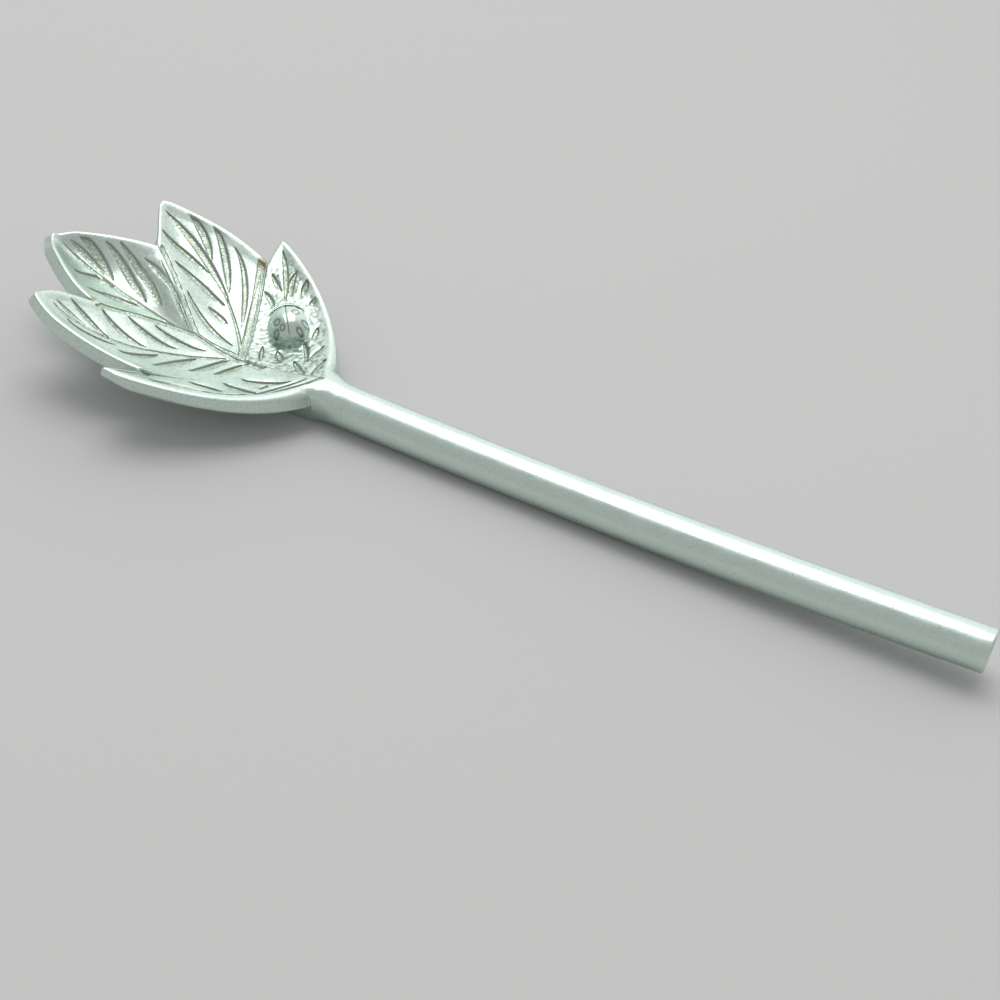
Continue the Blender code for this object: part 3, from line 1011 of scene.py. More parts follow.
@dataclass(frozen=True)
class LeafPlan:
    """Plan of a leaf.

    Attributes:
        low: Its inside edge from its base to its tip, or the left edge of the centre leaf.
        high: Its outside edge from its base to its tip, or the right edge of the centre leaf.
        low_seam: Share of the low edge, from its base, that meets another leaf.
        high_seam: Share of the high edge that does.
    """

    low: PlanCurve
    high: PlanCurve
    low_seam: float
    high_seam: float


@dataclass(frozen=True)
class LeafForm:
    """What sets one leaf's blade apart from the others.

    Attributes:
        tip: Its tip.
        veins: Its sunken veins.
        rim: The rounding of its rim.
        flare: How its wall leans.
        bands: Its stippled bands.
        stains: Residue in its notches.
        swell: How full the blade is between its veins.
        rim_extra: How much thicker the blade is along its rim.
        tip_blade: How thick the blade is at its tip.
        ground: How rough its whole top is, and so how much painted shade and dirt lie in its low spots.
    """

    tip: Tip
    veins: tuple[Vein, ...]
    rim: Rim = Rim()
    flare: Flare = Flare()
    bands: Bands = Bands()
    stains: tuple[Stain, ...] = ()
    swell: float = 0.24
    rim_extra: float = 0.9
    tip_blade: float = 2.2
    ground: float = 0.015


@dataclass
class Leaf(ABC):
    """One leaf of the bowl: a cupped blade with a raised border, sunken veins, rounded edges and a blunt tip.

    Attributes:
        name: Name of the piece.
        node: CAD node that it stands for.
        hand: Side of the bowl, and so whether its plan is mirrored.
        plan: Its edges on the right side of the bowl.
        form: Its tip, veins and edges.
        layer: Height of its top over the dish, as the leaves lap.
        dish: The dish that it follows.
    """

    name: str
    node: str
    hand: Hand
    plan: LeafPlan
    form: LeafForm
    layer: float
    dish: Dish = field(default_factory=Dish)

    GROOVE = "groove"
    RESIDUE = "residue"
    ROWS = 300
    COLUMNS = 150
    CAP_ROWS = 0.9
    EDGE_CROWDING = 1.6
    BORDER = 0.12
    BORDER_HEIGHT = 0.22
    BORDER_SLOPE = 1.8
    RELIEF_FADE = 0.6
    BAND_SINK = 0.26
    UNDER_RADIUS = 0.8
    RIM_EXTRA_RUN = 8.0
    SEAM_RADIUS = 0.3
    FLARE_RUN = 0.1
    STIPPLE = 0.05
    STIPPLE_SIZE = 0.5
    GROUND_SIZE = 0.9
    # Painted shade and dirt in the low spots of the rough ground.
    GROUND_SHADE_AND_DIRT = 7.0
    GROUND_SHADE_AND_DIRT_MOST = 0.34
    TIP_LOOK_BACK = 0.03
    SEAM_END = 0.999
    FLARE_POWER = 3
    LEAST_HALF_WIDTH = 0.001
    CUP_END_POWER = 8

    @abstractmethod
    def lift(self, along: np.ndarray, across: np.ndarray) -> np.ndarray:
        """Height of the blade over the dish, from shares along (0 to 1) and across (-1 to 1)."""

    def climb(self, reach: np.ndarray) -> np.ndarray:
        """Further climb of the blade's top, here none."""
        return np.zeros_like(reach)

    def rim_rounding(self, reach: np.ndarray, width: np.ndarray) -> Pair:
        """Width and depth of the rounding of the rim, from its own width."""
        return width, width * self.form.rim.depth

    def inside_border(self, places: np.ndarray, from_rim: np.ndarray, width: np.ndarray) -> np.ndarray:
        """How far places lie inside the raised border, which the rounding of the rim takes up."""
        return from_rim - width - self.BORDER

    def free_of_root(self, reach: np.ndarray) -> np.ndarray:
        """How far the blade is free of the neck, from 0 to 1, here fully."""
        return np.ones_like(reach)

    def underside_reach(self, reach: np.ndarray) -> np.ndarray:
        """Where the underside may lie along reach, here anywhere."""
        return reach

    @staticmethod
    def valley(across: np.ndarray) -> np.ndarray:
        """Cross-section of a cupped blade: 0 on its midrib, 1 along its edge."""
        return across**2 * (2 - across**2)

    def tip_run(self) -> tuple[np.ndarray, float, float]:
        """The tip in plan.

        Returns:
            Its heading, and the shares of the edges at which its rounding starts and ends.
        """
        last = np.array([1 - self.TIP_LOOK_BACK, 1.0])
        middle = (self.plan.low.at(last) + self.plan.high.at(last)) / 2
        run = middle[1] - middle[0]
        pace = np.hypot(*run) / self.TIP_LOOK_BACK
        tip = self.form.tip
        return run / np.hypot(*run), 1 - (tip.over + tip.cap) / pace, 1 - tip.over / pace

    def tip_turn(self, along: np.ndarray) -> np.ndarray:
        """How far the edges have turned in round the tip, as an angle from 0 to a right angle."""
        return np.clip((along - self.CAP_ROWS) / (1 - self.CAP_ROWS), 0, 1) * np.pi / 2

    def spread(self, along: np.ndarray, across: np.ndarray, flared: bool = False) -> Pair:
        """Places of the blade in plan.

        Args:
            along: Shares from base to tip, 0 to 1.
            across: Shares from the low edge to the high edge, -1 to 1.
            flared: Whether the places are the underside's, which stands out beyond the top.

        Returns:
            Rows (reach, offset), and the share of the edges that each lies at.
        """
        heading, cap_start, cap_end = self.tip_run()
        turn = self.tip_turn(along)
        share = np.where(turn > 0, cap_start + (cap_end - cap_start) * np.sin(turn),
                         cap_start * along / self.CAP_ROWS)
        low, high = self.plan.low.at(share), self.plan.high.at(share)
        half = (high - low) / 2
        places = (low + high) / 2 + half * (across * np.cos(turn))[:, None]
        if flared:
            aside = half / np.maximum(np.hypot(*half.T), self.LEAST_HALF_WIDTH)[:, None]
            free_low = smooth_step(self.plan.low_seam, self.plan.low_seam + self.FLARE_RUN, share)
            free_high = smooth_step(self.plan.high_seam, self.plan.high_seam + self.FLARE_RUN, share)
            out = np.where(across < 0, self.form.flare.low * free_low, self.form.flare.high * free_high)
            places = places + aside * (out * across**self.FLARE_POWER * np.cos(turn))[:, None]
            places = places + heading * (self.form.flare.tip * np.sin(turn))[:, None]
        return places, share

    def rim(self) -> tuple[PlanCurve, PlanCurve, PlanCurve | None]:
        """The blade's border.

        Returns:
            The free edge round the tip, and the low and the high seam.
        """
        along = np.linspace(0, 1, EDGE_SAMPLES)
        low, share = self.spread(along, np.full(EDGE_SAMPLES, -1.0))
        high, _ = self.spread(along, np.full(EDGE_SAMPLES, 1.0))
        to_tip = PlanCurve(low[share >= self.plan.low_seam])
        free = to_tip.then(PlanCurve(high[share >= self.plan.high_seam][::-1]))
        low_seam = low[share <= self.plan.low_seam]
        high_seam = high[share <= self.plan.high_seam]
        return free, PlanCurve(low_seam), PlanCurve(high_seam) if len(high_seam) > 2 else None

    @classmethod
    def beside(cls, seam: PlanCurve | None, places: np.ndarray) -> Pair:
        """How places lie to a seam.

        Args:
            seam: The seam, if there is one.
            places: Rows (reach, offset).

        Returns:
            Their distance from the seam, and the same without end for those past its end at the notch.
        """
        if seam is None:
            far = np.full(len(places), np.inf)
            return far, far
        distance, share = seam.nearest(places)
        return distance, np.where(share < cls.SEAM_END, distance, np.inf)

    def relief(
            self, places: np.ndarray, inside: np.ndarray, from_low: np.ndarray,
            from_high: np.ndarray) -> Pair:
        """The veins and bands in the blade's top.

        Args:
            places: Rows (reach, offset).
            inside: How far each lies inside the raised border.
            from_low: Its distance from the low seam that it lies beside.
            from_high: Its distance from the high seam that it lies beside.

        Returns:
            How far the top is sunk at each place, and how fully it lies on a stippled floor.
        """
        bands = self.form.bands
        floor = np.maximum(bands.press(from_low, bands.low_seam), bands.press(from_high, bands.high_seam))
        floor = np.maximum(floor, bands.press(inside, bands.rim))
        sunk = self.BAND_SINK * floor
        swell = np.zeros(len(places))
        for vein in self.form.veins:
            on_floor, near = vein.press(places)
            sunk = np.maximum(sunk, vein.sink.value * on_floor)
            floor = np.maximum(floor, on_floor)
            swell = np.maximum(swell, near)
        return sunk + self.form.swell * swell, floor

    def build(self) -> bpy.types.Object:
        """Models the leaf.

        Returns:
            The finished piece.
        """
        piece = Shaper.slab(self.name, self.ROWS, self.COLUMNS)
        grid = Shaper.points(piece)
        top = np.rint(grid[:, 2]) == 0
        along = (grid[:, 0] + 1) / 2
        across = np.sign(grid[:, 1]) * (1 - (1 - np.minimum(np.abs(grid[:, 1]), 1)) ** self.EDGE_CROWDING)
        places, share = self.spread(along, across)
        share = share / share.max()
        reach, offset = places.T
        drawn_in = across * np.cos(self.tip_turn(along))
        height = self.dish.height(reach, offset) + self.lift(share, drawn_in)

        free, low_seam, high_seam = self.rim()
        from_rim, _ = free.nearest(places)
        from_low, beside_low = self.beside(low_seam, places)
        from_high, beside_high = self.beside(high_seam, places)

        rim_width = self.form.rim.width(drawn_in)
        inside = self.inside_border(places, from_rim, rim_width)
        border = smooth_step(0, self.BORDER_SLOPE, inside)
        pressed, on_floor = self.relief(places[top], inside[top], beside_low[top], beside_high[top])
        sunk = np.zeros(len(places))
        floor = np.zeros(len(places))
        faded = smooth_step(0, self.RELIEF_FADE, inside)
        sunk[top] = pressed * faded[top]
        floor[top] = on_floor * faded[top]
        stipple = np.zeros(len(places))
        rough = top & (border > 0)
        stippled = np.column_stack([places, height])[rough]
        stipple[rough] = grain(stippled, self.STIPPLE_SIZE) * self.STIPPLE * floor[rough]
        lumps = grain(stippled, self.GROUND_SIZE) * self.form.ground * border[rough]
        stipple[rough] += lumps
        # Painted shade and dirt: the low spots of the rough ground are marked as floor, so the material dulls
        # and darkens them.
        dirt = np.clip(-self.GROUND_SHADE_AND_DIRT * lumps, 0, self.GROUND_SHADE_AND_DIRT_MOST)
        floor[rough] = np.maximum(floor[rough], dirt)
        top_height = height + self.layer + self.climb(reach) - self.BORDER_HEIGHT * border - sunk + stipple
        rounding = round_over(from_rim, *self.rim_rounding(reach, rim_width))
        top_height -= np.maximum(rounding, round_over(np.minimum(from_low, from_high), self.SEAM_RADIUS))

        taper = smooth_step(self.dish.tip_taper_start, 1, share)
        thickness = self.dish.blade + (self.form.tip_blade - self.dish.blade) * taper
        free_of_root = self.free_of_root(reach)
        thickness += self.form.rim_extra * (1 - smooth_step(0, self.RIM_EXTRA_RUN, from_rim)) * free_of_root
        shift, down = self.dish.drop(reach, thickness)
        under, _ = self.spread(along, across, True)
        under_reach = self.underside_reach(under[:, 0] + shift)
        under_height = height - down + round_over(from_rim, self.UNDER_RADIUS) * free_of_root

        Shaper.place(piece, np.column_stack([
            NECK_X - np.where(top, reach, under_reach),
            self.hand.value * np.where(top, offset, under[:, 1]),
            np.where(top, top_height, under_height),
        ]))
        residue = np.zeros(len(places))
        for stain in self.form.stains:
            residue = np.maximum(residue, stain.cover(places))
        Shaper.mark(piece, self.GROOVE, floor)
        Shaper.mark(piece, self.RESIDUE, residue)
        Shaper.close(piece)
        return piece

    def dress(self, piece: bpy.types.Object) -> None:
        """Gives the leaf its finish and its place in the frame."""
        dress(piece, LEAF_FINISH, Slot.LEAF, self.node)


@dataclass
class CentreLeaf(Leaf):
    """The long leaf at the tip of the bowl, cupped along its midrib."""

    left_cup: float = 4.4
    right_cup: float = 5.0
    base_cup: float = 0.8
    cup_full_at: float = 0.36
    tip_raise: float = 2.2

    TIP_BEND_POWER = 16

    def lift(self, along: np.ndarray, across: np.ndarray) -> np.ndarray:
        """Cupping that runs out at the tip, which is bent up.

        Args:
            along: Shares from base to tip, 0 to 1.
            across: Shares from the low edge to the high edge, -1 to 1.

        Returns:
            Height over the dish.
        """
        cup = np.where(across < 0, self.left_cup, self.right_cup)
        cup = self.base_cup + (cup - self.base_cup) * smooth_step(0, self.cup_full_at, along)
        cup = cup * self.valley(across) * (1 - along**self.CUP_END_POWER)
        return cup + self.tip_raise * along**self.TIP_BEND_POWER


@dataclass
class InnerLeaf(Leaf):
    """A leaf beside the centre leaf, cupped towards it and curled up at its tip."""

    cup: float = 3.0
    cup_from: float = 0.15
    cup_full_at: float = 0.6
    curl: float = 2.4
    inside_raise: float = 0.0
    outside_raise: float = 0.0

    CURL_POWER = 3
    BEND_BEFORE_NOTCH = 0.05
    BEND_PAST_NOTCH = 0.25

    def lift(self, along: np.ndarray, across: np.ndarray) -> np.ndarray:
        """Cupping towards the centre leaf, the curl of the tip, and how far each side is bent up.

        Args:
            along: Shares from base to tip, 0 to 1.
            across: Shares from the low edge to the high edge, -1 to 1.

        Returns:
            Height over the dish.
        """
        grown = smooth_step(self.cup_from, self.cup_full_at, along)
        cup = self.cup * grown * self.valley(np.minimum(across, 0)) * (1 - along**self.CUP_END_POWER)
        inside = smooth_step(-1, 1, -across)
        notch = self.plan.high_seam
        free = smooth_step(notch - self.BEND_BEFORE_NOTCH, notch + self.BEND_PAST_NOTCH, along)
        bend = self.inside_raise * inside + self.outside_raise * (1 - inside) * free
        return cup + self.curl * along**self.CURL_POWER + bend * grown


@dataclass
class OuterLeaf(Leaf):
    """A short leaf beside the handle, which grows out of the neck."""

    droop: float = 1.7
    shoulder: float = 0.3
    shoulder_run: float = 3.0
    root_run: float = 4.0
    root_border: float = 1.0
    fork_reach: float = 9.6
    fork_slope: float = 1.8

    DROOP_POWER = 4

    def past_root(self, reach: np.ndarray) -> np.ndarray:
        """How near the blade is to the neck, 1 at its root and fading outwards."""
        return np.exp((self.dish.root_reach - reach) / self.root_run)

    def rim_rounding(self, reach: np.ndarray, width: np.ndarray) -> Pair:
        """Rounding of the rim, fuller where it flows into the neck.

        Args:
            reach: Where it is read.
            width: Width of the rounding away from the neck.

        Returns:
            Its width and its depth.
        """
        near = self.past_root(reach)
        depth = width * self.form.rim.depth
        return width + (self.dish.root_rounding - width) * near, depth + (self.dish.root_drop - depth) * near

    def inside_border(self, places: np.ndarray, from_rim: np.ndarray, width: np.ndarray) -> np.ndarray:
        """The raised borders of both outer leaves run together in a fork at the neck.

        Args:
            places: Rows (reach, offset).
            from_rim: Their distance from the rim.
            width: Width of the rim's rounding there.

        Returns:
            How far each lies inside the border.
        """
        reach, offset = places.T
        fork = ((reach - self.fork_reach) * self.fork_slope - np.abs(offset)) / math.hypot(1, self.fork_slope)
        return np.minimum(from_rim - width - self.BORDER - self.root_border * self.past_root(reach), fork)

    def lift(self, along: np.ndarray, across: np.ndarray) -> np.ndarray:
        """The blade follows the dish and flattens out at its tip."""
        return -self.droop * along**self.DROOP_POWER

    def climb(self, reach: np.ndarray) -> np.ndarray:
        """Climb of the blade's top towards the neck, level where it meets it."""
        past = reach - self.dish.root_reach
        return self.dish.rise(reach) + self.shoulder * past * np.exp(-past / self.shoulder_run)

    def free_of_root(self, reach: np.ndarray) -> np.ndarray:
        """The blade's lower edge runs into the neck at its root."""
        return smooth_step(self.dish.root_reach, self.dish.root_reach + self.root_run, reach)

    def underside_reach(self, reach: np.ndarray) -> np.ndarray:
        """The underside stays in front of the neck."""
        return np.maximum(reach, self.dish.root_reach)


@dataclass(frozen=True)
class SidePlan:
    """One side of the bowl in plan; each handle is given from the place that it belongs to.

    Attributes:
        centre_notch: Notch between the centre leaf and the inner leaf.
        centre_leave: Handle of their seam at its base.
        centre_arrive: Handle of their seam at the notch, taken backwards.
        centre_shoulder: Handle of the centre leaf's free edge at the notch.
        centre_point: Handle of that edge at the tip.
        inner_base_reach: Where the seam between the inner and the outer leaf starts.
        inner_seam_bow: How far that seam is bowed.
        inner_notch: Notch between the inner and the outer leaf.
        inner_tip: Tip of the inner leaf.
        inner_shoulder: Handle of the inner leaf's free edge at the centre notch.
        inner_point: Handle of that edge at the tip.
        inner_bulge: How far the inner leaf's outside edge is bowed.
        inner_raise: How far the inner leaf is bent up on its inside and on its outside.
        outer_tip_reach: Reach of the outer leaf's tip.
        outer_bulge: How far the outer leaf's outside edge is bowed.
        outer_shoulder: Handle of the outer leaf's free edge at the inner notch.
    """

    centre_notch: Place
    centre_leave: Place
    centre_arrive: Place
    centre_shoulder: Place
    centre_point: Place
    inner_base_reach: float
    inner_seam_bow: float
    inner_notch: Place
    inner_tip: Place
    inner_shoulder: Place
    inner_point: Place
    inner_bulge: float
    inner_raise: Place
    outer_tip_reach: float
    outer_bulge: float
    outer_shoulder: Place


@dataclass
class Bowl:
    """The five leaves of the bowl, laid out in plan on the right side."""

    dish: Dish = field(default_factory=Dish)
    centre_base: Place = (44.5, 0.0)
    centre_tip: Place = (84.2, 0.9)
    outer_tip_offset: float = 34.5
    outer_point_back: float = 2.7
    root_fillet: float = 2.6
    root_flare: float = math.radians(22)

    FILLET_PULL = 0.4
    SIDES = {
        Hand.LEFT: SidePlan(
            centre_notch=(62.5, 13.1), centre_leave=(6.3, 3.9), centre_arrive=(5.7, 4.8),
            centre_shoulder=(10.0, -0.2), centre_point=(-6.9, 3.4),
            inner_base_reach=25.0, inner_seam_bow=2.0, inner_notch=(42.1, 25.6), inner_tip=(70.3, 24.5),
            inner_shoulder=(2.8, 2.4), inner_point=(0.0, -4.8), inner_bulge=2.5, inner_raise=(0.8, 0.0),
            outer_tip_reach=44.6, outer_bulge=5.4, outer_shoulder=(0.6, 2.7)),
        Hand.RIGHT: SidePlan(
            centre_notch=(65.1, 13.9), centre_leave=(5.4, 3.5), centre_arrive=(4.3, 1.7),
            centre_shoulder=(7.0, -2.6), centre_point=(-6.5, 3.6),
            inner_base_reach=31.0, inner_seam_bow=0.3, inner_notch=(43.2, 27.8), inner_tip=(71.3, 24.5),
            inner_shoulder=(2.3, 3.7), inner_point=(-2.3, -3.8), inner_bulge=2.0, inner_raise=(1.1, 1.0),
            outer_tip_reach=43.2, outer_bulge=4.2, outer_shoulder=(0.5, 2.0)),
    }
    CENTRE = LeafForm(
        Tip(over=2.4, cap=4.2), CENTRE_VEINS, Rim(low=1.1), Flare(low=0.3, tip=0.2),
        stains=(Stain((63.6, -12.6), 1.2),), tip_blade=2.8)
    INNER = {
        Hand.LEFT: LeafForm(
            Tip(over=2.6, cap=4.2), INNER_LEFT_VEINS, Rim(high=1.2),
            Flare(high=0.3, tip=0.2), Bands(low_seam=1.4), swell=0.3, tip_blade=2.8),
        Hand.RIGHT: LeafForm(
            Tip(over=0.9, cap=1.5), INNER_RIGHT_VEINS, Rim(), Flare(low=-1.4, tip=-0.8),
            Bands(low_seam=0.9, high_seam=1.8), (Stain((43.4, 27.4), 1.7),), rim_extra=0.0),
    }
    OUTER = {
        Hand.LEFT: LeafForm(
            Tip(over=1.8, cap=3.6), OUTER_LEFT_VEINS, Rim(high=2.4, depth=0.72),
            bands=Bands(rim=1.4), swell=0.5, rim_extra=0.3),
        Hand.RIGHT: LeafForm(
            Tip(over=0.7, cap=1.4), OUTER_RIGHT_VEINS, Rim(), Flare(low=-0.8, tip=-0.5), rim_extra=0.3,
            ground=0.09),
    }

    @staticmethod
    def beyond(tip: Place, base: Place, over: float) -> np.ndarray:
        """The place past a tip, seen from its base, where the leaf's edges would meet."""
        tip, base = np.array(tip), np.array(base)
        return tip + (tip - base) / np.hypot(*(tip - base)) * over

    def centre_seam(self, hand: Hand) -> PlanCurve:
        """Seam between the centre leaf and an inner leaf.

        Args:
            hand: Side of the bowl.

        Returns:
            The seam from its base to the notch.
        """
        side = self.SIDES[hand]
        base, notch = np.array(self.centre_base), np.array(side.centre_notch)
        return PlanCurve.bezier(base, base + side.centre_leave, notch - side.centre_arrive, notch)

    def inner_seam(self, hand: Hand) -> PlanCurve:
        """Seam between an inner and an outer leaf, from its base to the notch."""
        side = self.SIDES[hand]
        return PlanCurve.bowed((side.inner_base_reach, 0), side.inner_notch, side.inner_seam_bow)

    def centre_leaf(self) -> CentreLeaf:
        """The centre leaf, which both inner leaves lap.

        Returns:
            The leaf, not yet modelled.
        """
        tip = self.beyond(self.centre_tip, self.centre_base, self.CENTRE.tip.over)
        edges = {}
        shares = {}
        for hand, side in self.SIDES.items():
            seam = self.centre_seam(hand)
            notch = np.array(side.centre_notch)
            outside = PlanCurve.bezier(notch, notch + side.centre_shoulder, tip + side.centre_point, tip)
            edges[hand] = seam.then(outside)
            shares[hand] = seam.length() / edges[hand].length()
        plan = LeafPlan(edges[Hand.LEFT].mirrored(), edges[Hand.RIGHT], shares[Hand.LEFT], shares[Hand.RIGHT])
        node = "centre_leaf"
        layer = -self.dish.lap_step
        return CentreLeaf(f"{node}_veined", node, Hand.RIGHT, plan, self.CENTRE, layer, self.dish)

    def inner_leaf(self, hand: Hand) -> InnerLeaf:
        """The inner leaf of one side.

        Args:
            hand: Side of the bowl.

        Returns:
            The leaf, not yet modelled.
        """
        side, form = self.SIDES[hand], self.INNER[hand]
        base = (side.inner_base_reach, 0.0)
        tip = self.beyond(side.inner_tip, base, form.tip.over)
        notch = np.array(side.centre_notch)
        spine = PlanCurve(np.array([base, self.centre_base]))
        low_seam = spine.then(self.centre_seam(hand))
        inside = PlanCurve.bezier(notch, notch + side.inner_shoulder, tip + side.inner_point, tip)
        low = low_seam.then(inside)
        high_seam = self.inner_seam(hand)
        high = high_seam.then(PlanCurve.bowed(side.inner_notch, tip, side.inner_bulge))
        plan = LeafPlan(low, high, low_seam.length() / low.length(), high_seam.length() / high.length())
        node = f"inner_leaf_{hand.name.lower()}"
        return InnerLeaf(f"{node}_veined", node, hand, plan, form, 0.0, self.dish,
                         inside_raise=side.inner_raise[0], outside_raise=side.inner_raise[1])

    def outer_leaf(self, hand: Hand) -> OuterLeaf:
        """The outer leaf of one side, whose outside edge leaves the neck in a fillet.

        Args:
            hand: Side of the bowl.

        Returns:
            The leaf, not yet modelled.
        """
        side, form = self.SIDES[hand], self.OUTER[hand]
        root = (self.dish.root_reach, 0.0)
        tip = self.beyond((side.outer_tip_reach, self.outer_tip_offset), root, form.tip.over)
        notch = np.array(side.inner_notch)
        spine = PlanCurve(np.array([root, (side.inner_base_reach, 0.0)]))
        low_seam = spine.then(self.inner_seam(hand))
        inside = PlanCurve.bezier(notch, notch + side.outer_shoulder, tip - (0, self.outer_point_back), tip)
        low = low_seam.then(inside)

        corner = np.array((self.dish.root_reach, self.dish.root_half_width))
        outside = PlanCurve.bowed(corner, tip, side.outer_bulge)
        runs = np.linspace(self.root_fillet / outside.length(), 1, EDGE_SAMPLES)
        kept = outside.at(runs)
        onward = (kept[1] - kept[0]) / np.hypot(*(kept[1] - kept[0]))
        flare = np.array((math.cos(self.root_flare), math.sin(self.root_flare)))
        pull = self.root_fillet * self.FILLET_PULL
        fillet = PlanCurve.bezier(corner, corner + flare * pull, kept[0] - onward * pull, kept[0])
        high = fillet.then(PlanCurve(kept))

        plan = LeafPlan(low, high, low_seam.length() / low.length(), 0.0)
        node = f"outer_leaf_{hand.name.lower()}"
        return OuterLeaf(f"{node}_veined", node, hand, plan, form, self.dish.lap_step, self.dish)

    def leaves(self) -> list[Leaf]:
        """All five leaves.

        Returns:
            The centre leaf, then the inner leaves and the outer leaves.
        """
        inner = [self.inner_leaf(hand) for hand in Hand]
        outer = [self.outer_leaf(hand) for hand in Hand]
        return [self.centre_leaf(), *inner, *outer]

    def build(self) -> None:
        """Models and dresses the leaves."""
        for leaf in self.leaves():
            leaf.dress(leaf.build())


@dataclass
class Handle:
    """The bowed rod, and the neck with the rat-tail that runs on under the leaves."""

    dish: Dish = field(default_factory=Dish)
    radius: float = 4.85
    bow_radius: float = 2130.0
    low_point: float = 30.0
    joint_reach: float = 8.0
    end_rounding: float = 0.6
    neck_round_until: float = 5.0
    neck_wall_share: float = 0.25
    neck_fillet: float = 3.2
    tail_reach: float = 40.0
    tail_half_width: float = 5.8
    tail_tip_half_width: float = 1.6
    tail_widest_at: float = 0.3
    flat_end: float = 33.0
    flat_cut: float = 1.0

    SIDES = 96
    ROD_STEPS = 60
    END_STEPS = 5
    NECK_STEPS = 40
    TAIL_STEPS = 48
    UNDER_GAP = 0.03

    def axis(self, from_neck: np.ndarray) -> np.ndarray:
        """Height of the rod's axis, at a distance from the neck towards the handle's end."""
        return self.radius + (from_neck - self.low_point) ** 2 / (2 * self.bow_radius)

    def build_rod(self) -> bpy.types.Object:
        """Models the rod, with a rounded corner round its square end.

        Returns:
            The finished piece.
        """
        piece = Shaper.tube("rod_handle", self.SIDES, self.ROD_STEPS + self.END_STEPS)
        bar = Shaper.points(piece)
        step = np.rint(bar[:, 2])
        turn = np.clip((step - self.ROD_STEPS) / self.END_STEPS, 0, 1) * np.pi / 2
        straight = HANDLE_REACH - self.end_rounding - self.joint_reach
        from_neck = self.joint_reach + straight * np.minimum(step / self.ROD_STEPS, 1)
        from_neck += self.end_rounding * np.sin(turn)
        radius = self.radius - self.end_rounding * (1 - np.cos(turn))
        Shaper.place(piece, np.column_stack([
            NECK_X + from_neck,
            bar[:, 0] * radius,
            self.axis(from_neck) + bar[:, 1] * radius,
        ]))
        Shaper.close(piece)
        return piece

    def neck_section(self, reach: np.ndarray, cosine: np.ndarray, sine: np.ndarray) -> Pair:
        """Cross-sections of the neck, from round at the rod to flat-topped where the leaves leave it.

        Args:
            reach: Where each point lies.
            cosine: Its share of the half-width, before squaring.
            sine: Its share of the height, before squaring.

        Returns:
            The offset and the height of each point.
        """
        root = self.dish.root_reach
        axis = self.axis(-reach)
        widen = np.clip((reach - root) / self.neck_fillet + 1, 0, 1) ** 2
        half_width = self.radius + (self.dish.root_half_width - self.radius) * widen

        quarter = np.arctan2(np.abs(sine), np.abs(cosine)) / (np.pi / 2)
        wall = np.clip(quarter / self.neck_wall_share, 0, 1)
        swing = np.clip((quarter - self.neck_wall_share) / (1 - self.neck_wall_share), 0, 1) * np.pi / 2
        outward = np.where(sine > 0, np.cos(swing), np.abs(cosine))
        from_side = self.dish.root_half_width * (1 - outward)
        crown = self.dish.outer_top(root, self.dish.root_half_width * outward)
        crown = crown - round_over(from_side, self.dish.root_rounding, self.dish.root_drop)
        sole = self.dish.underside(root, self.dish.root_half_width)
        upper = np.where(wall < 1, sole + (crown - sole) * wall, crown)
        bottom = axis - self.radius - self.flat_cut
        lower = sole - (sole - bottom) * np.abs(sine)

        flat = smooth_step(self.neck_round_until, root, reach)
        offset = np.sign(cosine) * half_width * (np.abs(cosine) + (outward - np.abs(cosine)) * flat)
        round_height = axis + self.radius * sine
        height = round_height + (np.where(sine > 0, upper, lower) - round_height) * flat
        return offset, np.maximum(height, 0)

    def tail_section(self, reach: np.ndarray, cosine: np.ndarray, sine: np.ndarray) -> Pair:
        """Cross-sections of the rat-tail, cut flat at the table and closed against the leaves.

        Args:
            reach: Where each point lies.
            cosine: Its share of the half-width.
            sine: Its share of the height.

        Returns:
            The offset and the height of each point.
        """
        along = (reach - self.dish.root_reach) / (self.tail_reach - self.dish.root_reach)
        half_width = self.dish.root_half_width + (
            self.tail_half_width - self.dish.root_half_width) * smooth_step(0, self.tail_widest_at, along)
        half_width += (self.tail_tip_half_width - half_width) * smooth_step(self.tail_widest_at, 1, along)
        offset = half_width * cosine
        underside = self.dish.underside(reach, 0) - self.UNDER_GAP
        lift_off = smooth_step(self.flat_end, self.tail_reach, reach)
        bottom = -self.flat_cut + (underside - self.tail_tip_half_width / 2 + self.flat_cut) * lift_off
        rise = np.where(sine > 0, underside, underside - bottom)
        height = np.minimum(underside + rise * sine, self.dish.underside(reach, offset) - self.UNDER_GAP)
        return offset, np.maximum(height, 0)

    def build_neck(self) -> bpy.types.Object:
        """Models the neck and the rat-tail as one bar.

        Returns:
            The finished piece.
        """
        steps = self.NECK_STEPS + 1 + self.TAIL_STEPS
        piece = Shaper.tube("neck_with_rat_tail", self.SIDES, steps)
        bar = Shaper.points(piece)
        step = np.rint(bar[:, 2])
        cosine, sine = bar[:, 0], bar[:, 1]
        root = self.dish.root_reach
        in_neck = step <= self.NECK_STEPS
        neck_reach = -self.joint_reach + (root + self.joint_reach) * np.minimum(step / self.NECK_STEPS, 1)
        tail_share = np.clip((step - self.NECK_STEPS - 1) / self.TAIL_STEPS, 0, 1)
        tail_reach = root + (self.tail_reach - root) * tail_share
        neck_offset, neck_height = self.neck_section(neck_reach, cosine, sine)
        tail_offset, tail_height = self.tail_section(tail_reach, cosine, sine)
        Shaper.place(piece, np.column_stack([
            NECK_X - np.where(in_neck, neck_reach, tail_reach),
            np.where(in_neck, neck_offset, tail_offset),
            np.where(in_neck, neck_height, tail_height),
        ]))
        Shaper.close(piece)
        return piece

    def build(self) -> None:
        """Models and dresses the rod and the neck."""
        dress(self.build_rod(), ROD_FINISH, Slot.ROD, "handle_rod")
        dress(self.build_neck(), ROD_FINISH, Slot.ROD, "neck_rat_tail")


@dataclass(frozen=True)
class Dimple:
    """A spot on a wing case: its place from the shell's middle, forwards and to the left, and its radius."""

    forward: float
    left: float
    radius: float


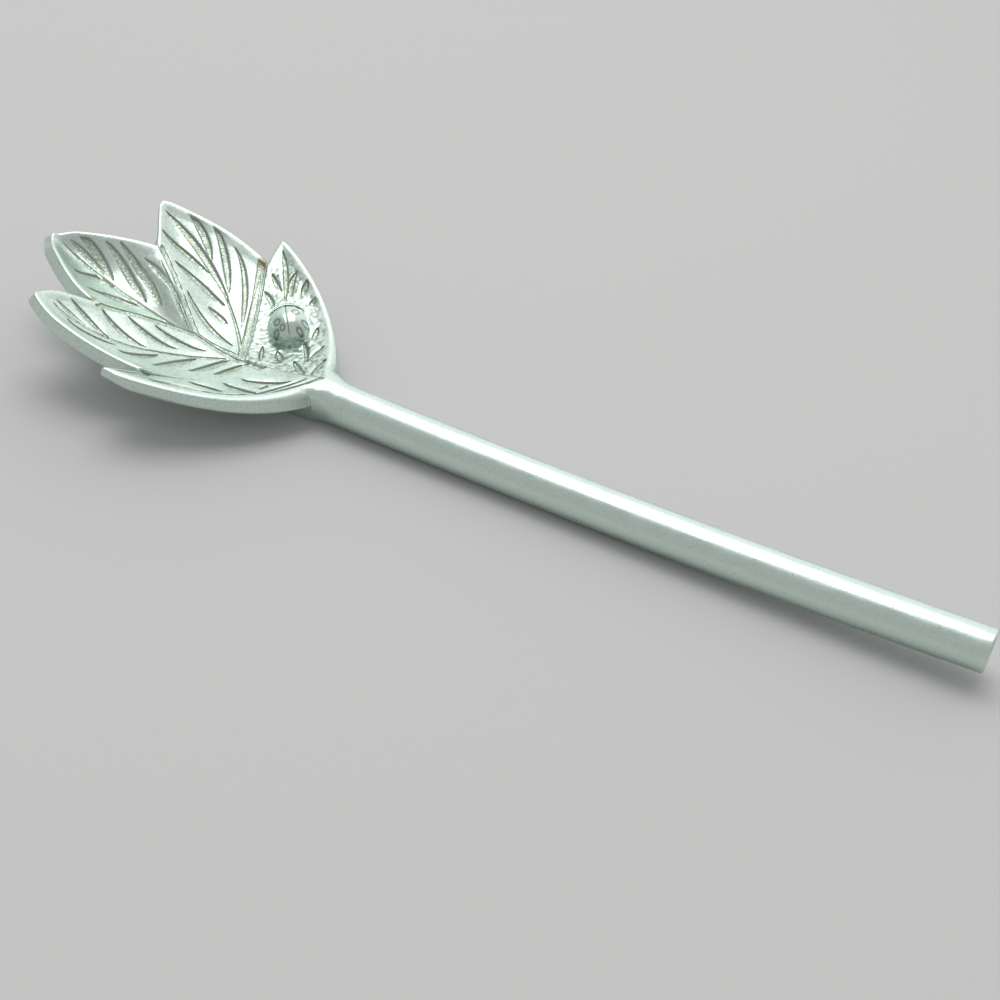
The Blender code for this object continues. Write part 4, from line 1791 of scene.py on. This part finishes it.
@dataclass
class Ladybird:
    """The ladybird on the right outer leaf: two wing cases with dimpled spots and a crescent head shield."""

    dish: Dish = field(default_factory=Dish)
    reach: float = 27.7
    offset: float = 13.2
    facing: Place = (43.2, 34.5)
    length: float = 11.0
    width: float = 10.0
    height: float = 4.7
    fit: float = 0.3
    shield_spread: float = math.radians(46)
    shield_height: float = 3.0
    shield_proud: float = 1.5
    shield_horn: float = 0.6
    shield_top_turn: float = math.radians(62)
    sunk: float = 1.1
    dimple_depth: float = 0.2
    ring_depth: float = 0.14
    ring_width: float = 0.17
    seam_radius: float = 0.4
    spots: tuple[Dimple, ...] = (
        Dimple(0.55, -2.2, 0.75), Dimple(-2.1, -3.9, 0.65), Dimple(-4.0, -2.4, 0.55),
        Dimple(-1.6, 2.35, 0.65), Dimple(-3.2, 1.3, 0.55), Dimple(-3.6, 2.9, 0.55),
    )

    SEGMENTS = 160
    RINGS = 96
    SHELL_FROM = 0.6
    # Painted shade and dirt in the rings of the spots.
    RING_SHADE_AND_DIRT = 0.5
    DROP_MOST = 0.5
    SEAT_SAMPLES = 32
    SHIELD_SIDES = 96
    SHIELD_STEPS = 24
    SHIELD_GAP = 0.05
    SHIELD_SQUARING = 0.7

    def seat(self) -> Matrix:
        """The ladybird's place: X forwards, Y to its left, Z square to the leaf, in millimetres.

        Returns:
            The matrix from the ladybird's own frame to the spoon's.
        """
        slopes = (
            (self.reach - self.dish.floor_reach) / self.dish.length_radius,
            -self.offset / self.dish.cross_radius,
            1,
        )
        normal = Vector(slopes).normalized()
        heading = Vector((self.reach - self.facing[0], self.facing[1] - self.offset, 0))
        heading = (heading - normal * heading.dot(normal)).normalized()
        sideways = normal.cross(heading)
        height = float(self.dish.outer_top(self.reach, self.offset))
        centre = Vector((NECK_X - self.reach, self.offset, height))
        shortage = 0.0
        for angle in np.linspace(0, 2 * np.pi, self.SEAT_SAMPLES, endpoint=False):
            forward = heading * math.cos(angle) * (self.length / 2 + self.fit + self.shield_proud)
            rim = centre + forward + sideways * math.sin(angle) * self.width / 2
            shortage = max(shortage, float(self.dish.outer_top(NECK_X - rim.x, rim.y)) - rim.z)
        turn = Matrix((heading, sideways, normal)).transposed().to_4x4()
        return Matrix.Translation(centre + Vector((0, 0, shortage + self.fit))) @ turn

    def settle(self, piece: bpy.types.Object) -> None:
        """Moves a piece from the ladybird's own frame to its place on the leaf, and closes it.

        Args:
            piece: The piece, in millimetres.
        """
        seat = np.array(self.seat())
        points = Shaper.points(piece)
        Shaper.place(piece, points @ seat[:3, :3].T + seat[:3, 3])
        Shaper.close(piece)

    def build_wing_case(self, hand: Hand) -> bpy.types.Object:
        """Models one half of the shell.

        Args:
            hand: The ladybird's own left or right.

        Returns:
            The finished piece.
        """
        Shaper.deselect()
        bpy.ops.mesh.primitive_uv_sphere_add(segments=self.SEGMENTS, ring_count=self.RINGS, radius=1)
        piece = Shaper.named(f"ladybird_wing_case_{hand.name.lower()}_spotted")
        side = -hand.value
        bpy.ops.object.mode_set(mode="EDIT")
        half_axes = (self.length / 2, self.width / 2, self.height)
        bpy.ops.transform.resize(value=half_axes, center_override=(0, 0, 0))
        for place, normal in (((0, 0, -self.sunk), (0, 0, 1)), ((0, 0, 0), (0, side, 0))):
            bpy.ops.mesh.select_all(action="SELECT")
            bpy.ops.mesh.bisect(plane_co=place, plane_no=normal, use_fill=True, clear_inner=True)
        bpy.ops.object.mode_set(mode="OBJECT")

        points = Shaper.points(piece)
        below = np.minimum(points[:, 2], 0)
        points[:, :2] /= np.sqrt(1 - (below / self.height) ** 2)[:, None]
        drop = round_over(np.abs(points[:, 1]), self.seam_radius)
        on_shell = points[:, 2] > self.SHELL_FROM
        dark = np.zeros(len(points))
        for spot in self.spots:
            away = np.hypot(points[:, 0] - spot.forward, points[:, 1] - spot.left)
            ring = np.exp(-(((away - spot.radius) / self.ring_width) ** 2))
            drop += self.dimple_depth * (1 - smooth_step(0, spot.radius, away))
            drop += self.ring_depth * ring
            # Painted shade and dirt: the rings of the spots are marked so that the material darkens and dulls
            # them.
            dark = np.maximum(dark, np.where(on_shell, ring * self.RING_SHADE_AND_DIRT, 0))
        Shaper.mark(piece, Leaf.GROOVE, dark)
        points[:, 2] -= np.where(on_shell, np.minimum(drop, points[:, 2] * self.DROP_MOST), 0)
        piece.data.vertices.foreach_set("co", points.ravel())
        self.settle(piece)
        return piece

    def build_head_shield(self) -> bpy.types.Object:
        """Models the crescent in front of the wing cases.

        Returns:
            The finished piece.
        """
        piece = Shaper.tube("ladybird_head_shield_crescent", self.SHIELD_SIDES, self.SHIELD_STEPS)
        bar = Shaper.points(piece)
        share = np.rint(bar[:, 2]) / self.SHIELD_STEPS * 2 - 1
        angle = self.shield_spread * share
        thickness = (self.shield_horn + (self.shield_proud - self.shield_horn) * (1 - share**2)) / 2
        swing = np.arctan2(bar[:, 1], bar[:, 0])
        level = self.shield_height * math.sin(self.shield_top_turn)
        height = level * (1 + squared_off(np.sin(swing), self.SHIELD_SQUARING)) / 2
        slice_share = np.sqrt(1 - (height / (self.height + self.fit)) ** 2)
        front = 1 + squared_off(np.cos(swing), self.SHIELD_SQUARING)
        lean = np.cos(np.arcsin(np.clip(height / self.shield_height, 0, 1)))
        proud = thickness * front * lean
        points = np.column_stack([
            ((self.length / 2 + self.SHIELD_GAP) * slice_share + proud) * np.cos(angle),
            ((self.width / 2 + self.SHIELD_GAP) * slice_share + proud) * np.sin(angle),
            height,
        ])
        piece.data.vertices.foreach_set("co", points.ravel())
        self.settle(piece)
        return piece

    def build(self) -> None:
        """Models and dresses the three pieces."""
        for hand in Hand:
            node = f"ladybird_wing_case_{hand.name.lower()}"
            dress(self.build_wing_case(hand), LADYBIRD_FINISH, Slot.LADYBIRD, node)
        dress(self.build_head_shield(), LADYBIRD_FINISH, Slot.LADYBIRD, "ladybird_head_shield")


@dataclass
class Studio:
    """Pale floor, soft light and the camera at the photograph's angle.

    The camera's place and target are in millimetres, and all other lengths are in metres.
    """

    camera_place: Spot = (113.7, -276.45, 226.79)
    camera_target: Spot = (8.58, -4.03, 0.0)
    camera_roll: float = math.radians(8.69)
    lens: float = 61.33
    clip_start: float = 0.01
    floor_size: float = 6.0
    floor_colour: Colour = (0.56, 0.56, 0.555, 1)
    floor_roughness: float = 0.9
    sky_from: Spot = (-0.25, 0.85, 0.46)
    sky_edge: Range = (0.3, 0.95)
    sky_strength: Range = (0.5, 1.1)
    sky_colour: Colour = (1, 1, 1, 1)
    lamp_size: float = 0.8
    lamp_place: Spot = (-0.22, 0.22, 1.08)
    lamp_power: float = 4.8

    def build_floor(self) -> None:
        """A plain pale floor."""
        Shaper.deselect()
        bpy.ops.mesh.primitive_plane_add(size=self.floor_size)
        floor = Shaper.named("studio_floor")
        material = bpy.data.materials.new("pale_floor")
        material.use_nodes = True
        surface = material.node_tree.nodes["Principled BSDF"]
        surface.inputs["Base Color"].default_value = self.floor_colour
        surface.inputs["Roughness"].default_value = self.floor_roughness
        floor.data.materials.append(material)

    def build_light(self) -> None:
        """A soft sky that is paler behind the spoon, and a wide lamp above and behind it."""
        world = bpy.data.worlds.new("studio_sky")
        world.use_nodes = True
        bpy.context.scene.world = world
        wiring = Wiring(world.node_tree)
        direction = wiring.add("ShaderNodeTexCoord").outputs["Generated"]
        towards = wiring.add("ShaderNodeVectorMath", {"operation": "DOT_PRODUCT"})
        wiring.feed(towards.inputs[0], direction)
        wiring.feed(towards.inputs[1], self.sky_from)
        strength = wiring.remap(towards.outputs["Value"], self.sky_edge, self.sky_strength)
        backdrop = world.node_tree.nodes["Background"]
        wiring.feed(backdrop.inputs["Strength"], strength)
        wiring.feed(backdrop.inputs["Color"], self.sky_colour)
        lamp = bpy.data.lights.new("overhead_lamp", "AREA")
        lamp.size = self.lamp_size
        lamp.energy = self.lamp_power
        overhead = bpy.data.objects.new("overhead_lamp", lamp)
        overhead.location = self.lamp_place
        overhead.rotation_mode = "QUATERNION"
        overhead.rotation_quaternion = (-Vector(self.lamp_place)).to_track_quat("-Z", "Y")
        bpy.context.collection.objects.link(overhead)

    def build_camera(self) -> None:
        """The camera, at the photograph's place."""
        place = Vector(self.camera_place) * MM
        look = Vector(self.camera_target) * MM - place
        camera = bpy.data.cameras.new("photo_camera")
        camera.lens = self.lens
        camera.clip_start = self.clip_start
        holder = bpy.data.objects.new("photo_camera", camera)
        holder.location = place
        holder.rotation_mode = "QUATERNION"
        holder.rotation_quaternion = look.to_track_quat("-Z", "Y") @ Quaternion((0, 0, 1), self.camera_roll)
        bpy.context.collection.objects.link(holder)
        bpy.context.scene.camera = holder

    def build(self) -> None:
        """Sets up the whole studio."""
        self.build_floor()
        self.build_light()
        self.build_camera()
        bpy.context.scene.view_settings.view_transform = "Standard"


def main() -> None:
    """Builds the spoon and the studio in order."""
    logging.basicConfig(level=logging.INFO, format="%(name)s %(message)s")
    Bowl().build()
    Handle().build()
    Ladybird().build()
    Studio().build()


if __name__ == "__main__":
    main()
